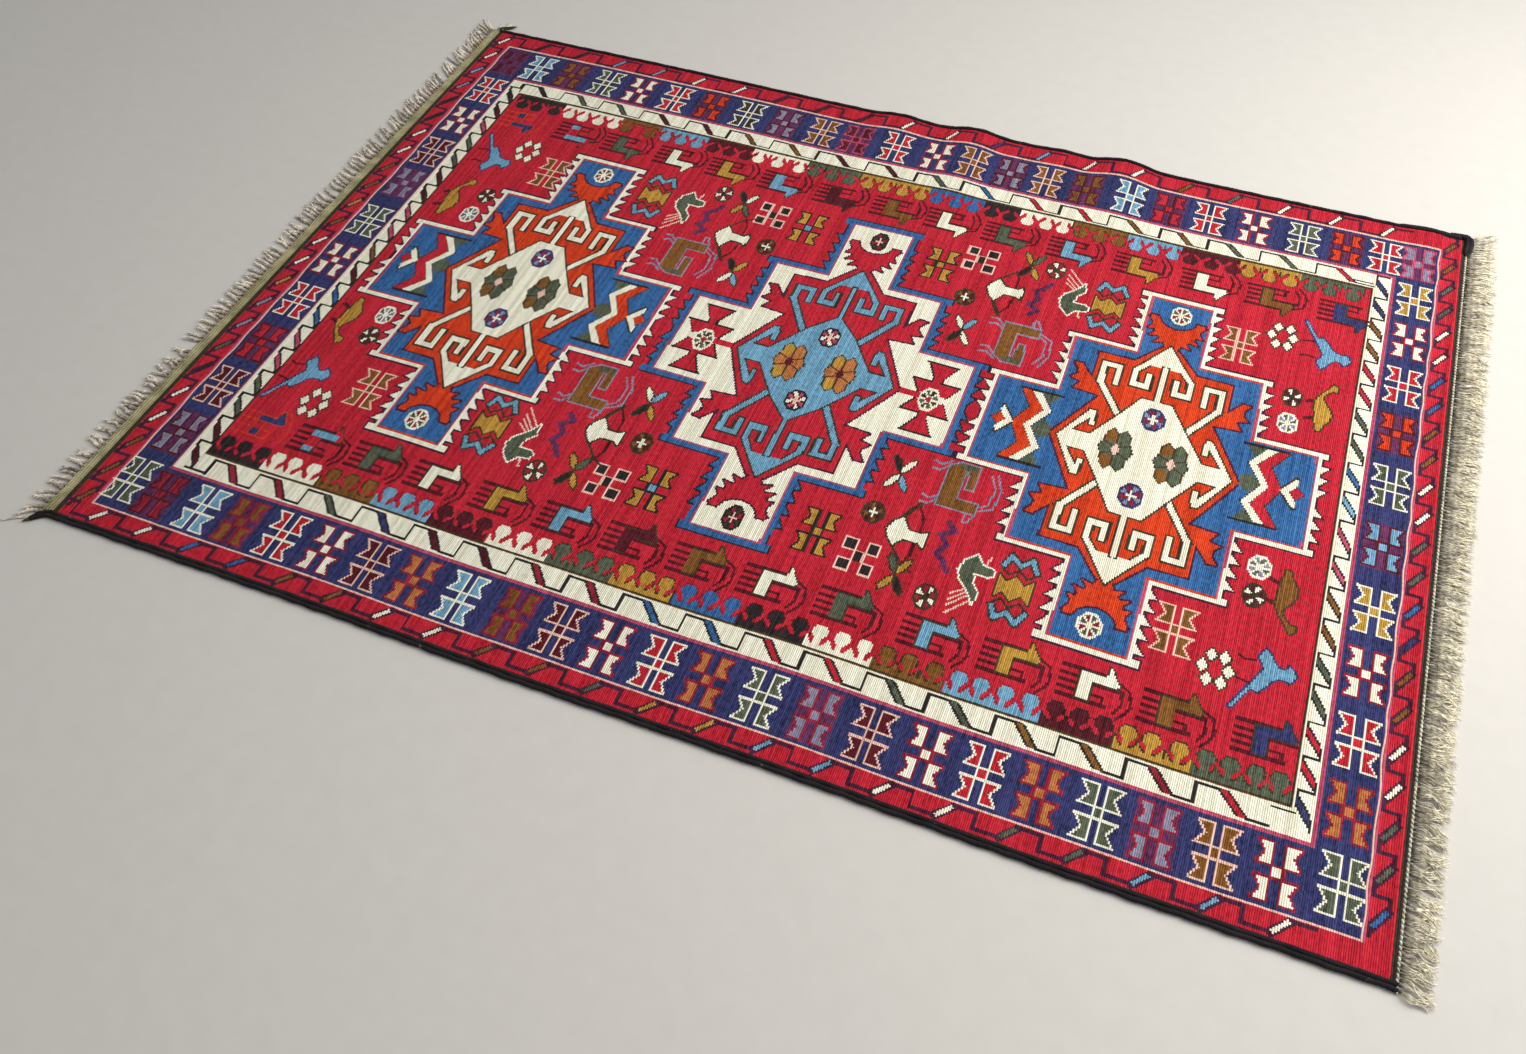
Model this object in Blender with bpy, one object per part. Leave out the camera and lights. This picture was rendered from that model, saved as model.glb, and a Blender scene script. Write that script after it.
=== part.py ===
"""A soumak kilim lying on a floor: wool cloth, two wrapped selvedges and two warp fringes.

Metres, +Z up. The warps run along X and the wefts along Y, and the underside of the cloth is Z = 0.
The origin is on the floor, under the middle of the kilim with its fringes.
"""

import math
import random

import bmesh
import bpy
from mathutils import Vector

# The woven cloth, from warp end to warp end and between the selvedges.
CLOTH_LEFT_X = -0.799
CLOTH_RIGHT_X = 0.795
CLOTH_NEAR_Y = -0.568
CLOTH_FAR_Y = 0.5745
CLOTH_THICKNESS = 0.003

# Pieces that touch keep this gap.
SEAM_GAP = 0.0003

# A selvedge is thick cord overcast in dark wool: two cords at the near edge, one at the far edge.
CORD_RADIUS = 0.0029
CORD_SPACING = 0.0052
CORDS_NEAR = 2
CORDS_FAR = 1

# The fringes reach as far from the middle at both ends, and their outermost locks as far at both corners.
FRINGE_END_X = 0.846
FRINGE_CORNER_Y = 0.606
LOCKS_PER_END = 142
LOCK_ROOT_WIDTH = 0.0054
LOCK_TIP_WIDTH = 0.0030
LOCK_TIP_HEIGHT = 0.0018
LOCK_STEPS = 3
LOCK_BEND = 1.4
LOCK_UNEVENNESS = 0.09

# What holds the locks at each end, and how they lie. length is from the strip to the tip. lean is how
# far the tip is beyond the root along Y.
LEFT_STRIP = {"width": 0.0160, "height": 0.0026}
LEFT_LOCKS = [
    {"y": -0.53, "length": 0.0250, "lean": 0.001},
    {"y": -0.30, "length": 0.0245, "lean": 0.003},
    {"y": 0.00, "length": 0.0290, "lean": 0.008},
    {"y": 0.20, "length": 0.0300, "lean": 0.016},
    {"y": 0.53, "length": 0.0310, "lean": 0.022},
]
LEFT_CORNER_TIPS_Y = (-FRINGE_CORNER_Y, 0.601)
RIGHT_STRIP = {"width": 0.0035, "height": 0.0034}
RIGHT_LOCKS = [
    {"y": -0.56, "length": 0.0350, "lean": -0.005},
    {"y": -0.20, "length": 0.0390, "lean": -0.003},
    {"y": 0.10, "length": 0.0420, "lean": 0.002},
    {"y": 0.45, "length": 0.0440, "lean": 0.005},
    {"y": 0.54, "length": 0.0380, "lean": 0.014},
]
RIGHT_CORNER_TIPS_Y = (-0.586, FRINGE_CORNER_Y)

# Low ripples where the far edge doesn't lie flat. x is the crest, and reach how far it runs towards -Y.
RIPPLES = [
    {"x": -0.060, "half_width": 0.060, "lift": 0.0050, "reach": 0.12},
    {"x": 0.064, "half_width": 0.058, "lift": 0.0080, "reach": 0.24},
    {"x": 0.205, "half_width": 0.050, "lift": 0.0025, "reach": 0.08},
    {"x": 0.300, "half_width": 0.066, "lift": 0.0100, "reach": 0.17},
    {"x": 0.745, "half_width": 0.048, "lift": 0.0030, "reach": 0.08},
]

# The cloth was never quite square on the loom.
EDGE_WAVE = 0.0009
EDGE_WAVE_LENGTH = 0.62
RIGHT_END_SKEW = 0.0055

# Mesh stations: fine where the ripples are, wide elsewhere.
COARSE_STEP = 0.10
FINE_STEP = 0.015
RIPPLED_STRETCHES_X = [(-0.120, 0.366), (0.697, 0.793)]
RIPPLED_DEPTH_STEP = 0.03


def ripple_lift(x, y):
    """How far the cloth stands off the floor at a point of the flat cut."""
    lift = 0.0
    for ripple in RIPPLES:
        across = abs(x - ripple["x"]) / ripple["half_width"]
        inwards = max(CLOTH_FAR_Y - y, 0.0) / ripple["reach"]
        if across < 1 and inwards < 1:
            crest = (1 + math.cos(math.pi * across)) / 2
            fade = (1 + math.cos(math.pi * inwards)) / 2
            lift += ripple["lift"] * crest * fade
    return lift


def lay(x, y, height):
    """A point of the flat cut, at a height above the underside, where the kilim lies on the floor."""
    skew = RIGHT_END_SKEW * y * max(x, 0.0) / CLOTH_RIGHT_X
    wave = EDGE_WAVE * math.sin(2 * math.pi * x / EDGE_WAVE_LENGTH)
    return Vector((x + skew, y + wave, ripple_lift(x, y) + height))


def stations(start, end, step):
    """Evenly spaced values from start to end, at most step apart."""
    count = max(1, math.ceil((end - start) / step - 1e-6))
    return [start + (end - start) * i / count for i in range(count + 1)]


def stations_along():
    """Stations along the warps, shared by the cloth and both selvedges so that they meet all the way."""
    xs = [CLOTH_LEFT_X]
    for start, end in RIPPLED_STRETCHES_X:
        xs += stations(xs[-1], start, COARSE_STEP)[1:]
        xs += stations(start, end, FINE_STEP)[1:]
    return xs + [CLOTH_RIGHT_X]


def stations_across():
    """Stations from the near selvedge to the far one."""
    ripples_start = CLOTH_FAR_Y - max(ripple["reach"] for ripple in RIPPLES)
    flat = stations(CLOTH_NEAR_Y, ripples_start, COARSE_STEP)
    return flat + stations(ripples_start, CLOTH_FAR_Y, RIPPLED_DEPTH_STEP)[1:]


def from_table(rows, column, y):
    """A column of a table of places along Y, read between its rows."""
    if y <= rows[0]["y"]:
        return rows[0][column]
    for before, after in zip(rows, rows[1:]):
        if y <= after["y"]:
            share = (y - before["y"]) / (after["y"] - before["y"])
            return before[column] + (after[column] - before[column]) * share
    return rows[-1][column]


def wool(name, colour):
    """A plain yarn material."""
    material = bpy.data.materials.new(name)
    material.use_nodes = True
    shader = material.node_tree.nodes["Principled BSDF"]
    shader.inputs["Base Color"].default_value = (*colour, 1.0)
    shader.inputs["Roughness"].default_value = 0.95
    shader.inputs["Metallic"].default_value = 0.0
    return material


def add_object(name, bm, material):
    """Turns a bmesh into a named object whose faces point out."""
    bmesh.ops.recalc_face_normals(bm, faces=bm.faces)
    mesh = bpy.data.meshes.new(name)
    bm.to_mesh(mesh)
    bm.free()
    mesh.materials.append(material)
    made = bpy.data.objects.new(name, mesh)
    bpy.context.scene.collection.objects.link(made)
    return made


def join_rings(bm, ring, following):
    """A band of quads between two rings of vertices."""
    for i in range(len(ring)):
        j = (i + 1) % len(ring)
        bm.faces.new((ring[i], ring[j], following[j], following[i]))


def make_cloth(material):
    """The woven panel, one sheet from end to end, on the ripples of its far edge."""
    bm = bmesh.new()
    ys = stations_across()
    rings = []
    for x in stations_along():
        under = [bm.verts.new(lay(x, y, 0.0)) for y in ys]
        over = [bm.verts.new(lay(x, y, CLOTH_THICKNESS)) for y in reversed(ys)]
        rings.append(under + over)
    for ring, following in zip(rings, rings[1:]):
        join_rings(bm, ring, following)
    for ring in (rings[0], rings[-1]):
        for i in range(len(ys) - 1):
            bm.faces.new((ring[i], ring[i + 1], ring[-2 - i], ring[-1 - i]))
    return add_object("cloth", bm, material)


def selvedge_width(cords):
    """The width of cords laid side by side."""
    return (cords - 1) * CORD_SPACING + 2 * CORD_RADIUS


def selvedge_profile(cords):
    """The outline across the cords, as distances from the cloth and heights."""
    if cords == 1:
        arcs = [(0, (270, 325, 0, 45, 90, 135, 180, 215))]
    else:
        arcs = [(1, (270, 325, 15, 55, 90, 140)), (0, (40, 90, 125, 165, 215, 270))]
    return [
        (
            CORD_RADIUS + cord * CORD_SPACING + CORD_RADIUS * math.cos(math.radians(angle)),
            CORD_RADIUS + CORD_RADIUS * math.sin(math.radians(angle)),
        )
        for cord, angles in arcs
        for angle in angles
    ]


def make_selvedge(name, edge_y, side, cords, material):
    """One wrapped selvedge along a long edge. side is +1 at the far edge and -1 at the near one."""
    bm = bmesh.new()
    rings = []
    for x in stations_along():
        ring = []
        for distance, height in selvedge_profile(cords):
            place = lay(x, edge_y, height)
            place.y += side * (SEAM_GAP + distance)
            ring.append(bm.verts.new(place))
        rings.append(ring)
    for ring, following in zip(rings, rings[1:]):
        join_rings(bm, ring, following)
    bm.faces.new(rings[0])
    bm.faces.new(rings[-1])
    selvedge = add_object(name, bm, material)
    selvedge.data.shade_smooth()
    selvedge.data.set_sharp_from_angle(angle=math.radians(60))
    return selvedge


def with_corner_locks(locks, tips_y, first_y, last_y):
    """A table of locks with a row added at each corner for the outermost lock, by where its tip lies."""
    near_lean = tips_y[0] + LOCK_TIP_WIDTH / 2 - first_y
    far_lean = tips_y[1] - LOCK_TIP_WIDTH / 2 - last_y
    near = {"y": first_y, "length": locks[0]["length"], "lean": near_lean}
    far = {"y": last_y, "length": locks[-1]["length"], "lean": far_lean}
    return [near] + locks + [far]


def make_fringe(name, side, strip, locks, corner_tips_y, seed, material):
    """The warp ends beyond the cloth: locks of yarn whose roots are held in a narrow strip.

    side is -1 at the left end and +1 at the right one.
    """
    rng = random.Random(seed)
    near_y = CLOTH_NEAR_Y - SEAM_GAP - selvedge_width(CORDS_NEAR)
    far_y = CLOTH_FAR_Y + SEAM_GAP + selvedge_width(CORDS_FAR)
    pitch = (far_y - near_y) / LOCKS_PER_END
    middles = [near_y + pitch * (i + 0.5) for i in range(LOCKS_PER_END)]
    table = with_corner_locks(locks, corner_tips_y, middles[0], middles[-1])

    inner_x = abs(CLOTH_RIGHT_X if side > 0 else CLOTH_LEFT_X) + SEAM_GAP
    root_x = inner_x + strip["width"]
    tips_x = [
        root_x + from_table(table, "length", y) * (1 - rng.uniform(0, LOCK_UNEVENNESS))
        for y in middles
    ]
    shortfall = FRINGE_END_X - max(side * lay(side * x, y, 0.0).x for x, y in zip(tips_x, middles))

    bm = bmesh.new()

    def ring_at(corners):
        return [bm.verts.new(lay(side * x, y, height)) for x, y, height in corners]

    strip_ys = [near_y]
    for middle in middles:
        strip_ys += [middle - LOCK_ROOT_WIDTH / 2, middle + LOCK_ROOT_WIDTH / 2]
    strip_ys.append(far_y)
    rings = [
        ring_at([
            (inner_x, y, 0.0),
            (root_x, y, 0.0),
            (root_x, y, strip["height"]),
            (inner_x, y, strip["height"]),
        ])
        for y in strip_ys
    ]
    bm.faces.new(rings[0])
    bm.faces.new(rings[-1])
    for i, (ring, following) in enumerate(zip(rings, rings[1:])):
        between_locks = i % 2 == 0
        sides = [(0, 1), (1, 2), (2, 3), (3, 0)] if between_locks else [(0, 1), (2, 3), (3, 0)]
        for a, b in sides:
            bm.faces.new((ring[a], ring[b], following[b], following[a]))

    for i, (middle, tip_x) in enumerate(zip(middles, tips_x)):
        lean = from_table(table, "lean", middle)
        low, high = rings[2 * i + 1], rings[2 * i + 2]
        ring = [low[1], high[1], high[2], low[2]]
        for step in range(1, LOCK_STEPS + 1):
            share = step / LOCK_STEPS
            half = (LOCK_ROOT_WIDTH + (LOCK_TIP_WIDTH - LOCK_ROOT_WIDTH) * share) / 2
            height = strip["height"] + (LOCK_TIP_HEIGHT - strip["height"]) * share
            x = root_x + (tip_x + shortfall - root_x) * share
            y = middle + lean * share**LOCK_BEND
            following = ring_at([
                (x, y - half, 0.0),
                (x, y + half, 0.0),
                (x, y + half, height),
                (x, y - half, height),
            ])
            join_rings(bm, ring, following)
            ring = following
        bm.faces.new(ring)
    return add_object(name, bm, material)


def main():
    for existing in list(bpy.data.objects):
        bpy.data.objects.remove(existing, do_unlink=True)

    woven = wool("red_ground", (0.50, 0.020, 0.045))
    dark = wool("dark_overcast", (0.012, 0.012, 0.016))
    undyed = wool("undyed_warp", (0.60, 0.53, 0.38))

    make_cloth(woven)
    make_selvedge("selvedge_near", CLOTH_NEAR_Y, -1, CORDS_NEAR, dark)
    make_selvedge("selvedge_far", CLOTH_FAR_Y, 1, CORDS_FAR, dark)
    make_fringe("fringe_left", -1, LEFT_STRIP, LEFT_LOCKS, LEFT_CORNER_TIPS_Y, 11, undyed)
    make_fringe("fringe_right", 1, RIGHT_STRIP, RIGHT_LOCKS, RIGHT_CORNER_TIPS_Y, 23, undyed)


main()
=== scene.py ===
import math
import random
from bisect import bisect_left

import bpy
import numpy as np
from mathutils import Matrix, Vector


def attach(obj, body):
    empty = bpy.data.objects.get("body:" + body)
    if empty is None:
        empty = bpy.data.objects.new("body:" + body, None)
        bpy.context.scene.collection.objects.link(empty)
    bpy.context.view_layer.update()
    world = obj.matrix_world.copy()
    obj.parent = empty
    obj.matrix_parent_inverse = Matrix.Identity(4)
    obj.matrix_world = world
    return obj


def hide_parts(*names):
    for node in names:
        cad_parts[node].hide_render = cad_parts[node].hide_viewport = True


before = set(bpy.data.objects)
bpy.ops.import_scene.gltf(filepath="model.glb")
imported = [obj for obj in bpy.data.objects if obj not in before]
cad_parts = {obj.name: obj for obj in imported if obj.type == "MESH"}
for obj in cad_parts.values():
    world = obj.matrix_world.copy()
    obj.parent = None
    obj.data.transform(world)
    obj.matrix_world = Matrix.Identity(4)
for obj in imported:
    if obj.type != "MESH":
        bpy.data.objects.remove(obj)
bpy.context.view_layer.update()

# The cloth
# One panel of wool, woven in soumak: each row of weft is wrapped round the warps, and the yarn is
# changed within a row wherever the pattern changes. The rows run across the kilim, from the near
# edge to the far one. The pattern is set stitch by stitch into a chart, and the chart is then woven.
LEFT, RIGHT = -799.0, 795.0        # millimetres on the loom, as all measures of the pattern
NEAR, FAR = -568.0, 574.5
LEFT_END, RIGHT_END = LEFT / 1000, RIGHT / 1000        # the same in metres
NEAR_EDGE, FAR_EDGE = NEAR / 1000, FAR / 1000
ROWS, STITCHES = 693, 994
ROW = (RIGHT - LEFT) / ROWS
STITCH = (FAR - NEAR) / STITCHES
CLOTH_THICKNESS = 0.003
SHEET_WIDTH = 1600.0               # of the loom, from one side of the wool's texture map to the other

RIPPLES = (
    # x, half width, lift, reach: metres
    (-0.060, 0.060, 0.0050, 0.12),
    (0.064, 0.058, 0.0080, 0.24),
    (0.205, 0.050, 0.0025, 0.08),
    (0.300, 0.066, 0.0100, 0.17),
    (0.745, 0.048, 0.0030, 0.08),
)
EDGE_WAVE, EDGE_WAVE_LENGTH = 0.0009, 0.62
RIGHT_END_SKEW = 0.0055


def lift(x, y):
    """How far a low ripple of the far edge raises the cloth."""
    total = 0.0
    for middle, half_width, height, reach in RIPPLES:
        across = min(abs(x - middle) / half_width, 1.0)
        inwards = min(max(FAR_EDGE - y, 0.0) / reach, 1.0)
        total += height * (1 + math.cos(math.pi * across)) / 2 * (1 + math.cos(math.pi * inwards)) / 2
    return total


def lay(x, y, height):
    """Where a point of the flat loom, in metres, lies once the kilim is spread on the floor."""
    skew = RIGHT_END_SKEW * y * max(x, 0.0) / RIGHT_END
    wave = EDGE_WAVE * math.sin(2 * math.pi * x / EDGE_WAVE_LENGTH)
    return Vector((x + skew, y + wave, lift(x, y) + height))


YARNS = {
    # name: dyed colour, how much it changes from one dye lot to the next
    "madder": ((0.480, 0.012, 0.028), 0.16),
    "ivory": ((0.880, 0.815, 0.600), 0.05),
    "navy": ((0.029, 0.033, 0.118), 0.28),
    "plum": ((0.110, 0.022, 0.080), 0.25),
    "royal": ((0.030, 0.120, 0.300), 0.22),
    "sky": ((0.150, 0.330, 0.460), 0.16),
    "rust": ((0.580, 0.042, 0.005), 0.16),
    "ochre": ((0.450, 0.250, 0.035), 0.16),
    "brown": ((0.200, 0.080, 0.012), 0.20),
    "green": ((0.085, 0.102, 0.062), 0.22),
    "burgundy": ((0.085, 0.004, 0.010), 0.22),
    "garnet": ((0.280, 0.010, 0.028), 0.22),
    "umber": ((0.045, 0.032, 0.014), 0.22),
    "aubergine": ((0.055, 0.010, 0.030), 0.22),
    "tan": ((0.450, 0.160, 0.045), 0.18),
    "black": ((0.020, 0.014, 0.014), 0.20),
    "blush": ((0.800, 0.480, 0.380), 0.08),
    "rose": ((0.440, 0.062, 0.115), 0.18),
    "grey": ((0.230, 0.220, 0.300), 0.18),
}
YARN_NAMES = list(YARNS)
chart = np.zeros((ROWS, STITCHES), np.int8)


class Pen:
    """Sets shapes into the chart. Its measures are from its own point, across and up, and either can
    be turned over. lean slants what it draws by so much for each millimetre up."""

    def __init__(self, x=0.0, y=0.0, across=1, up=1, lean=0.0):
        self.x, self.y, self.across, self.up, self.lean = x, y, across, up, lean

    def place(self, x, y):
        return self.x + self.across * x + self.lean * y, self.y + self.up * y

    def at(self, x, y, across=1, up=1):
        x, y = self.place(x, y)
        return Pen(x, y, self.across * across, self.up * up, self.lean)

    def fill(self, yarn, outline):
        corners = np.array([self.place(x, y) for x, y in outline])
        x, y = (corners[:, 0] - LEFT) / ROW, (corners[:, 1] - NEAR) / STITCH
        next_x, next_y = np.roll(x, -1), np.roll(y, -1)
        first, last = max(0, math.ceil(x.min() - 0.5)), min(ROWS - 1, math.floor(x.max() - 0.5))
        for row in range(first, last + 1):
            middle = row + 0.5
            met = (x <= middle) != (next_x <= middle)
            share = (middle - x[met]) / (next_x[met] - x[met])
            ends = np.sort(y[met] + share * (next_y[met] - y[met]))
            for start, end in zip(ends[0::2], ends[1::2]):
                chart[row, max(0, round(start)):max(0, round(end))] = YARN_NAMES.index(yarn)

    def block(self, yarn, x0, x1, y0, y1):
        self.fill(yarn, [(x0, y0), (x1, y0), (x1, y1), (x0, y1)])

    def line(self, yarn, points, width=2.5):
        for (x0, y0), (x1, y1) in zip(points, points[1:]):
            length = math.hypot(x1 - x0, y1 - y0)
            dx, dy = (x1 - x0) / length * width / 2, (y1 - y0) / length * width / 2
            x0, y0, x1, y1 = x0 - dx, y0 - dy, x1 + dx, y1 + dy
            self.fill(yarn, [(x0 - dy, y0 + dx), (x1 - dy, y1 + dx), (x1 + dy, y1 - dx), (x0 + dy, y0 - dx)])

    def ring(self, yarn, points, width=2.5):
        self.line(yarn, [*points, points[0]], width)

    def rimmed(self, yarn, rim, points, width=2.2):
        """A shape with a rim round the outside of it."""
        self.ring(rim, points, 2 * width)
        self.fill(yarn, points)

    def four(self):
        """The same pen turned over each way, for what is the same in all four quarters."""
        return [self.at(0, 0, across, up) for across in (1, -1) for up in (1, -1)]


def quartered(pens, yarn, rim, path, closing=(), width=2.0):
    """A shape drawn by the quarter: its rim follows path, and closing runs back along the middle lines."""
    for pen in pens:
        pen.line(rim, path, 2 * width)
    for pen in pens:
        pen.fill(yarn, [*path, *closing])


def oval(half_width, half_height, cut=0.42):
    """An eight-sided oval, as the weave draws a round."""
    a, b = half_width, half_height
    return [(a, b * cut), (a * cut, b), (-a * cut, b), (-a, b * cut),
            (-a, -b * cut), (-a * cut, -b), (a * cut, -b), (a, -b * cut)]


def outlined_star(pen, yarn, rim="ivory"):
    """A four-part star of one colour in a pale outline, with a filled square in the middle."""
    quarter = [(5, 6.5), (22, 6.5), (13.5, 20), (22, 33), (5, 33)]
    pen.block(yarn, -4, 4, -5.5, 5.5)
    for part in pen.four():
        part.fill(yarn, quarter)
        part.ring(rim, quarter, 2.4)
        part.line(rim, [(0, 6.5), (22, 6.5)], 2.4)
        part.line(rim, [(5, 0), (5, 33)], 2.4)


def filled_star(pen, yarn, rim="garnet", middle=None):
    """A four-part star with a dark rim."""
    quarter = [(7, 8), (20, 8), (13.5, 20), (20, 32), (7, 32)]
    for part in pen.four():
        part.ring(rim, quarter, 5.5)
    pen.block(rim, -8, 8, -8, 8)
    for part in pen.four():
        part.fill(yarn, quarter)
    pen.block(middle or yarn, -4.6, 4.6, -5.2, 5.2)


def star(pen, yarn, kind):
    """A star of the main border. Where kind is a yarn, it is the rim of a star on a plum patch."""
    if kind == "outlined":
        outlined_star(pen, yarn, "blush" if yarn in ("burgundy", "brown") else "ivory")
    elif kind == "filled":
        filled_star(pen, yarn)
    else:
        pen.block("plum", -23, 23, -36, 36)
        filled_star(pen, yarn, kind)


# the ground of the whole cloth and the dark lines at its two ends
loom = Pen()
loom.block("madder", LEFT, RIGHT, NEAR, FAR)
loom.block("umber", LEFT, -793, NEAR, FAR)
loom.block("umber", 790, 793, NEAR, FAR)
loom.block("black", 793, RIGHT, NEAR, FAR)

# the guard border, on the madder ground
LONG_GUARDS = (
    # the near and the far guard: its upper line and its depth, its first dash, their pitch and their yarns
    (-542, 24, -741, 68.0, "ivory ivory royal royal brown brown ivory ivory brown brown green ochre ochre"
     " sky sky ivory ivory green green sky sky ivory"),
    (572, 30, -778, 73.3, "rose black black sky grey ivory ivory burgundy burgundy burgundy ivory ivory"
     " plum sky ivory ivory brown green ivory ivory ivory"),
)
SHORT_GUARDS = (
    # the left and the right guard: the middle of its dashes, the first of them, their pitch and their yarns
    (-778, 553, -47.2, "ivory ivory sky grey black black ivory ivory brown brown ochre brown ivory ivory"
     " ochre grey grey green black ivory ivory brown brown brown"),
    (776, 550, -48.3, "brown brown green green ivory ivory royal royal brown brown ivory ivory green green"
     " royal navy brown brown ivory ivory green green royal"),
)


def long_guard_step(pen, yarn, pitch, depth):
    """One step of a long guard: a slanted dash, and the dark line that runs from it to the next."""
    top, foot = 3.2, depth - 4
    pen.line("aubergine", [(-pitch + 8, top), (-pitch / 2 - 2, top), (-pitch / 2 - 2, foot), (-9, foot)], 4.2)
    pen.line("aubergine", [(8, top), (pitch / 2 - 2, top)], 4.2)
    pen.line("aubergine", [(-8, foot), (8, top + 1)], 9.5)
    pen.line(yarn, [(-6, foot - 2), (6, top + 2)], 4.6)


def short_guard_step(pen, yarn):
    """One step of a short guard, which is narrower and closer to the next."""
    pen.line("aubergine", [(-11, 24), (8, 24), (8, 14)], 4.6)
    pen.line("aubergine", [(-9, -11), (-9, -20), (-12, -20)], 4.6)
    pen.line("aubergine", [(-7, -10), (6, 10)], 10)
    pen.line(yarn, [(-5, -8), (4.5, 8)], 4.6)


for upper, depth, first, pitch, yarns in LONG_GUARDS:
    for number, yarn in enumerate(yarns.split()):
        long_guard_step(Pen(first + pitch * number, upper, 1, -1), yarn, pitch, depth)
for middle, first, pitch, yarns in SHORT_GUARDS:
    for number, yarn in enumerate(yarns.split()):
        short_guard_step(Pen(middle, first + pitch * number), yarn)

# the main border: a thin pale line, then four-part stars on navy
loom.block("rose", -765, 765, -542, 542)
loom.block("blush", -762.6, 762.6, -542, 542)
loom.block("navy", -760.3, 760.3, -539.2, 539.2)
MAIN_BORDER = (
    # side, then for each star its place along the side, its yarn and its kind or rim
    ("near", ((-740, "green", "outlined"), (-690, "garnet", "burgundy"), (-627, "sky", "outlined"),
              (-570, "brown", "garnet"), (-509, "madder", "outlined"), (-447, "ivory", "filled"),
              (-384, "burgundy", "outlined"), (-323, "tan", "filled"), (-258, "sky", "outlined"),
              (-190, "brown", "garnet"), (-130, "burgundy", "outlined"), (-68, "ivory", "filled"),
              (-5, "madder", "outlined"), (55, "tan", "filled"), (119, "green", "outlined"),
              (183, "grey", "garnet"), (247, "burgundy", "outlined"), (310, "ivory", "filled"),
              (372, "madder", "outlined"), (433, "tan", "filled"), (495, "green", "outlined"),
              (554, "grey", "garnet"), (615, "brown", "outlined"), (676, "ivory", "filled"),
              (738, "green", "outlined"))),
    ("far", ((-737, "burgundy", "plum"), (-682, "sky", "outlined"), (-620, "brown", "burgundy"),
             (-555, "green", "outlined"), (-494, "ivory", "filled"), (-428, "madder", "outlined"),
             (-364, "rust", "burgundy"), (-299, "umber", "outlined"), (-235, "grey", "burgundy"),
             (-170, "brown", "outlined"), (-113, "burgundy", "rose"), (-47, "madder", "outlined"),
             (20, "ivory", "filled"), (78, "brown", "outlined"), (138, "grey", "burgundy"),
             (195, "brown", "outlined"), (255, "brown", "burgundy"), (321, "sky", "outlined"),
             (380, "madder", "burgundy"), (440, "madder", "outlined"), (506, "ivory", "filled"),
             (576, "green", "outlined"), (636, "rust", "burgundy"), (690, "madder", "outlined"),
             (735, "grey", "rose"))),
    ("left", ((413, "madder", "outlined"), (324, "ivory", "filled"), (234, "burgundy", "outlined"),
              (150, "grey", "plum"), (52, "green", "outlined"), (-42, "ivory", "filled"),
              (-135, "madder", "outlined"), (-226, "madder", "burgundy"), (-315, "burgundy", "outlined"),
              (-404, "grey", "burgundy"))),
    ("right", ((416, "ochre", "outlined"), (330, "ivory", "filled"), (240, "madder", "outlined"),
               (150, "rust", "burgundy"), (56, "green", "outlined"), (-43, "sky", "burgundy"),
               (-142, "ochre", "outlined"), (-232, "ivory", "filled"), (-323, "madder", "outlined"),
               (-408, "tan", "filled"))),
)
STAR_MIDDLES = {"near": -500, "far": 498, "left": -733, "right": 735}
CORNER_STARS, CORNER_RISE = 730, 8      # from here on the near side's stars stand a little higher
for side, stars in MAIN_BORDER:
    middle = STAR_MIDDLES[side]
    for along, yarn, kind in stars:
        if side in ("near", "far"):
            rise = CORNER_RISE if side == "near" and abs(along) > CORNER_STARS else 0
            star(Pen(along, middle + rise), yarn, kind)
        else:
            star(Pen(middle, along), yarn, kind)

# the ivory border: a dark line that steps and runs into slanted bars
loom.block("rose", -708, 708, -460, 460)
loom.block("ivory", -704, 704, -455.5, 455.5)
IVORY_BARS = (
    # side, where its dark line steps, and the yarns of the bars between the steps
    ("near", (-659, -591, -520, -442, -365, -297, -225, -153, -81, -2, 72, 144, 219, 291, 367, 437, 510, 583,
              661),
     "garnet garnet green navy burgundy burgundy garnet garnet royal royal madder madder green green brown"
     " brown garnet madder"),
    ("far", (-680, -607, -535, -462, -382, -309, -234, -157, -75, 4, 77, 155, 229, 302, 379, 448, 522, 600,
             680),
     "black green green burgundy burgundy brown brown burgundy burgundy green royal madder madder brown brown"
     " green green madder"),
    ("left", (436, 391, 346, 300, 253, 207, 160, 115, 68, 19, -33, -82, -130, -177, -224, -270, -315, -359,
              -405, -450),
     "black burgundy rose green green burgundy burgundy rose rose brown burgundy royal royal rose rose green"
     " green burgundy burgundy"),
    ("right", (453, 405, 360, 316, 272, 226, 179, 131, 79, 29, -19, -77, -125, -172, -221, -264, -314, -358,
               -400, -445),
     "navy navy brown brown madder madder green green royal sky rose rose brown brown green green madder"
     " madder navy"),
)


BAR_LINES = {
    # the two lines that the dark line steps between, and half the thickness of the bars
    "near": (-427.5, -451, 7.2), "far": (450, 427.5, 6.0),
    "left": (-682, -698, 8.8), "right": (699, 683.5, 8.8),
}


def slanted_bar(pen, yarn, bar, half_across, half_up):
    """A bar of one colour with a dark line along each of its long sides."""
    (x0, y0), (x1, y1) = bar
    for wool, share in (("black", 1.0), (yarn, 0.48)):
        dx, dy = half_across * share, half_up * share
        pen.fill(wool, [(x0 - dx, y0 - dy), (x0 + dx, y0 + dy), (x1 + dx, y1 + dy), (x1 - dx, y1 - dy)])


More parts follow.
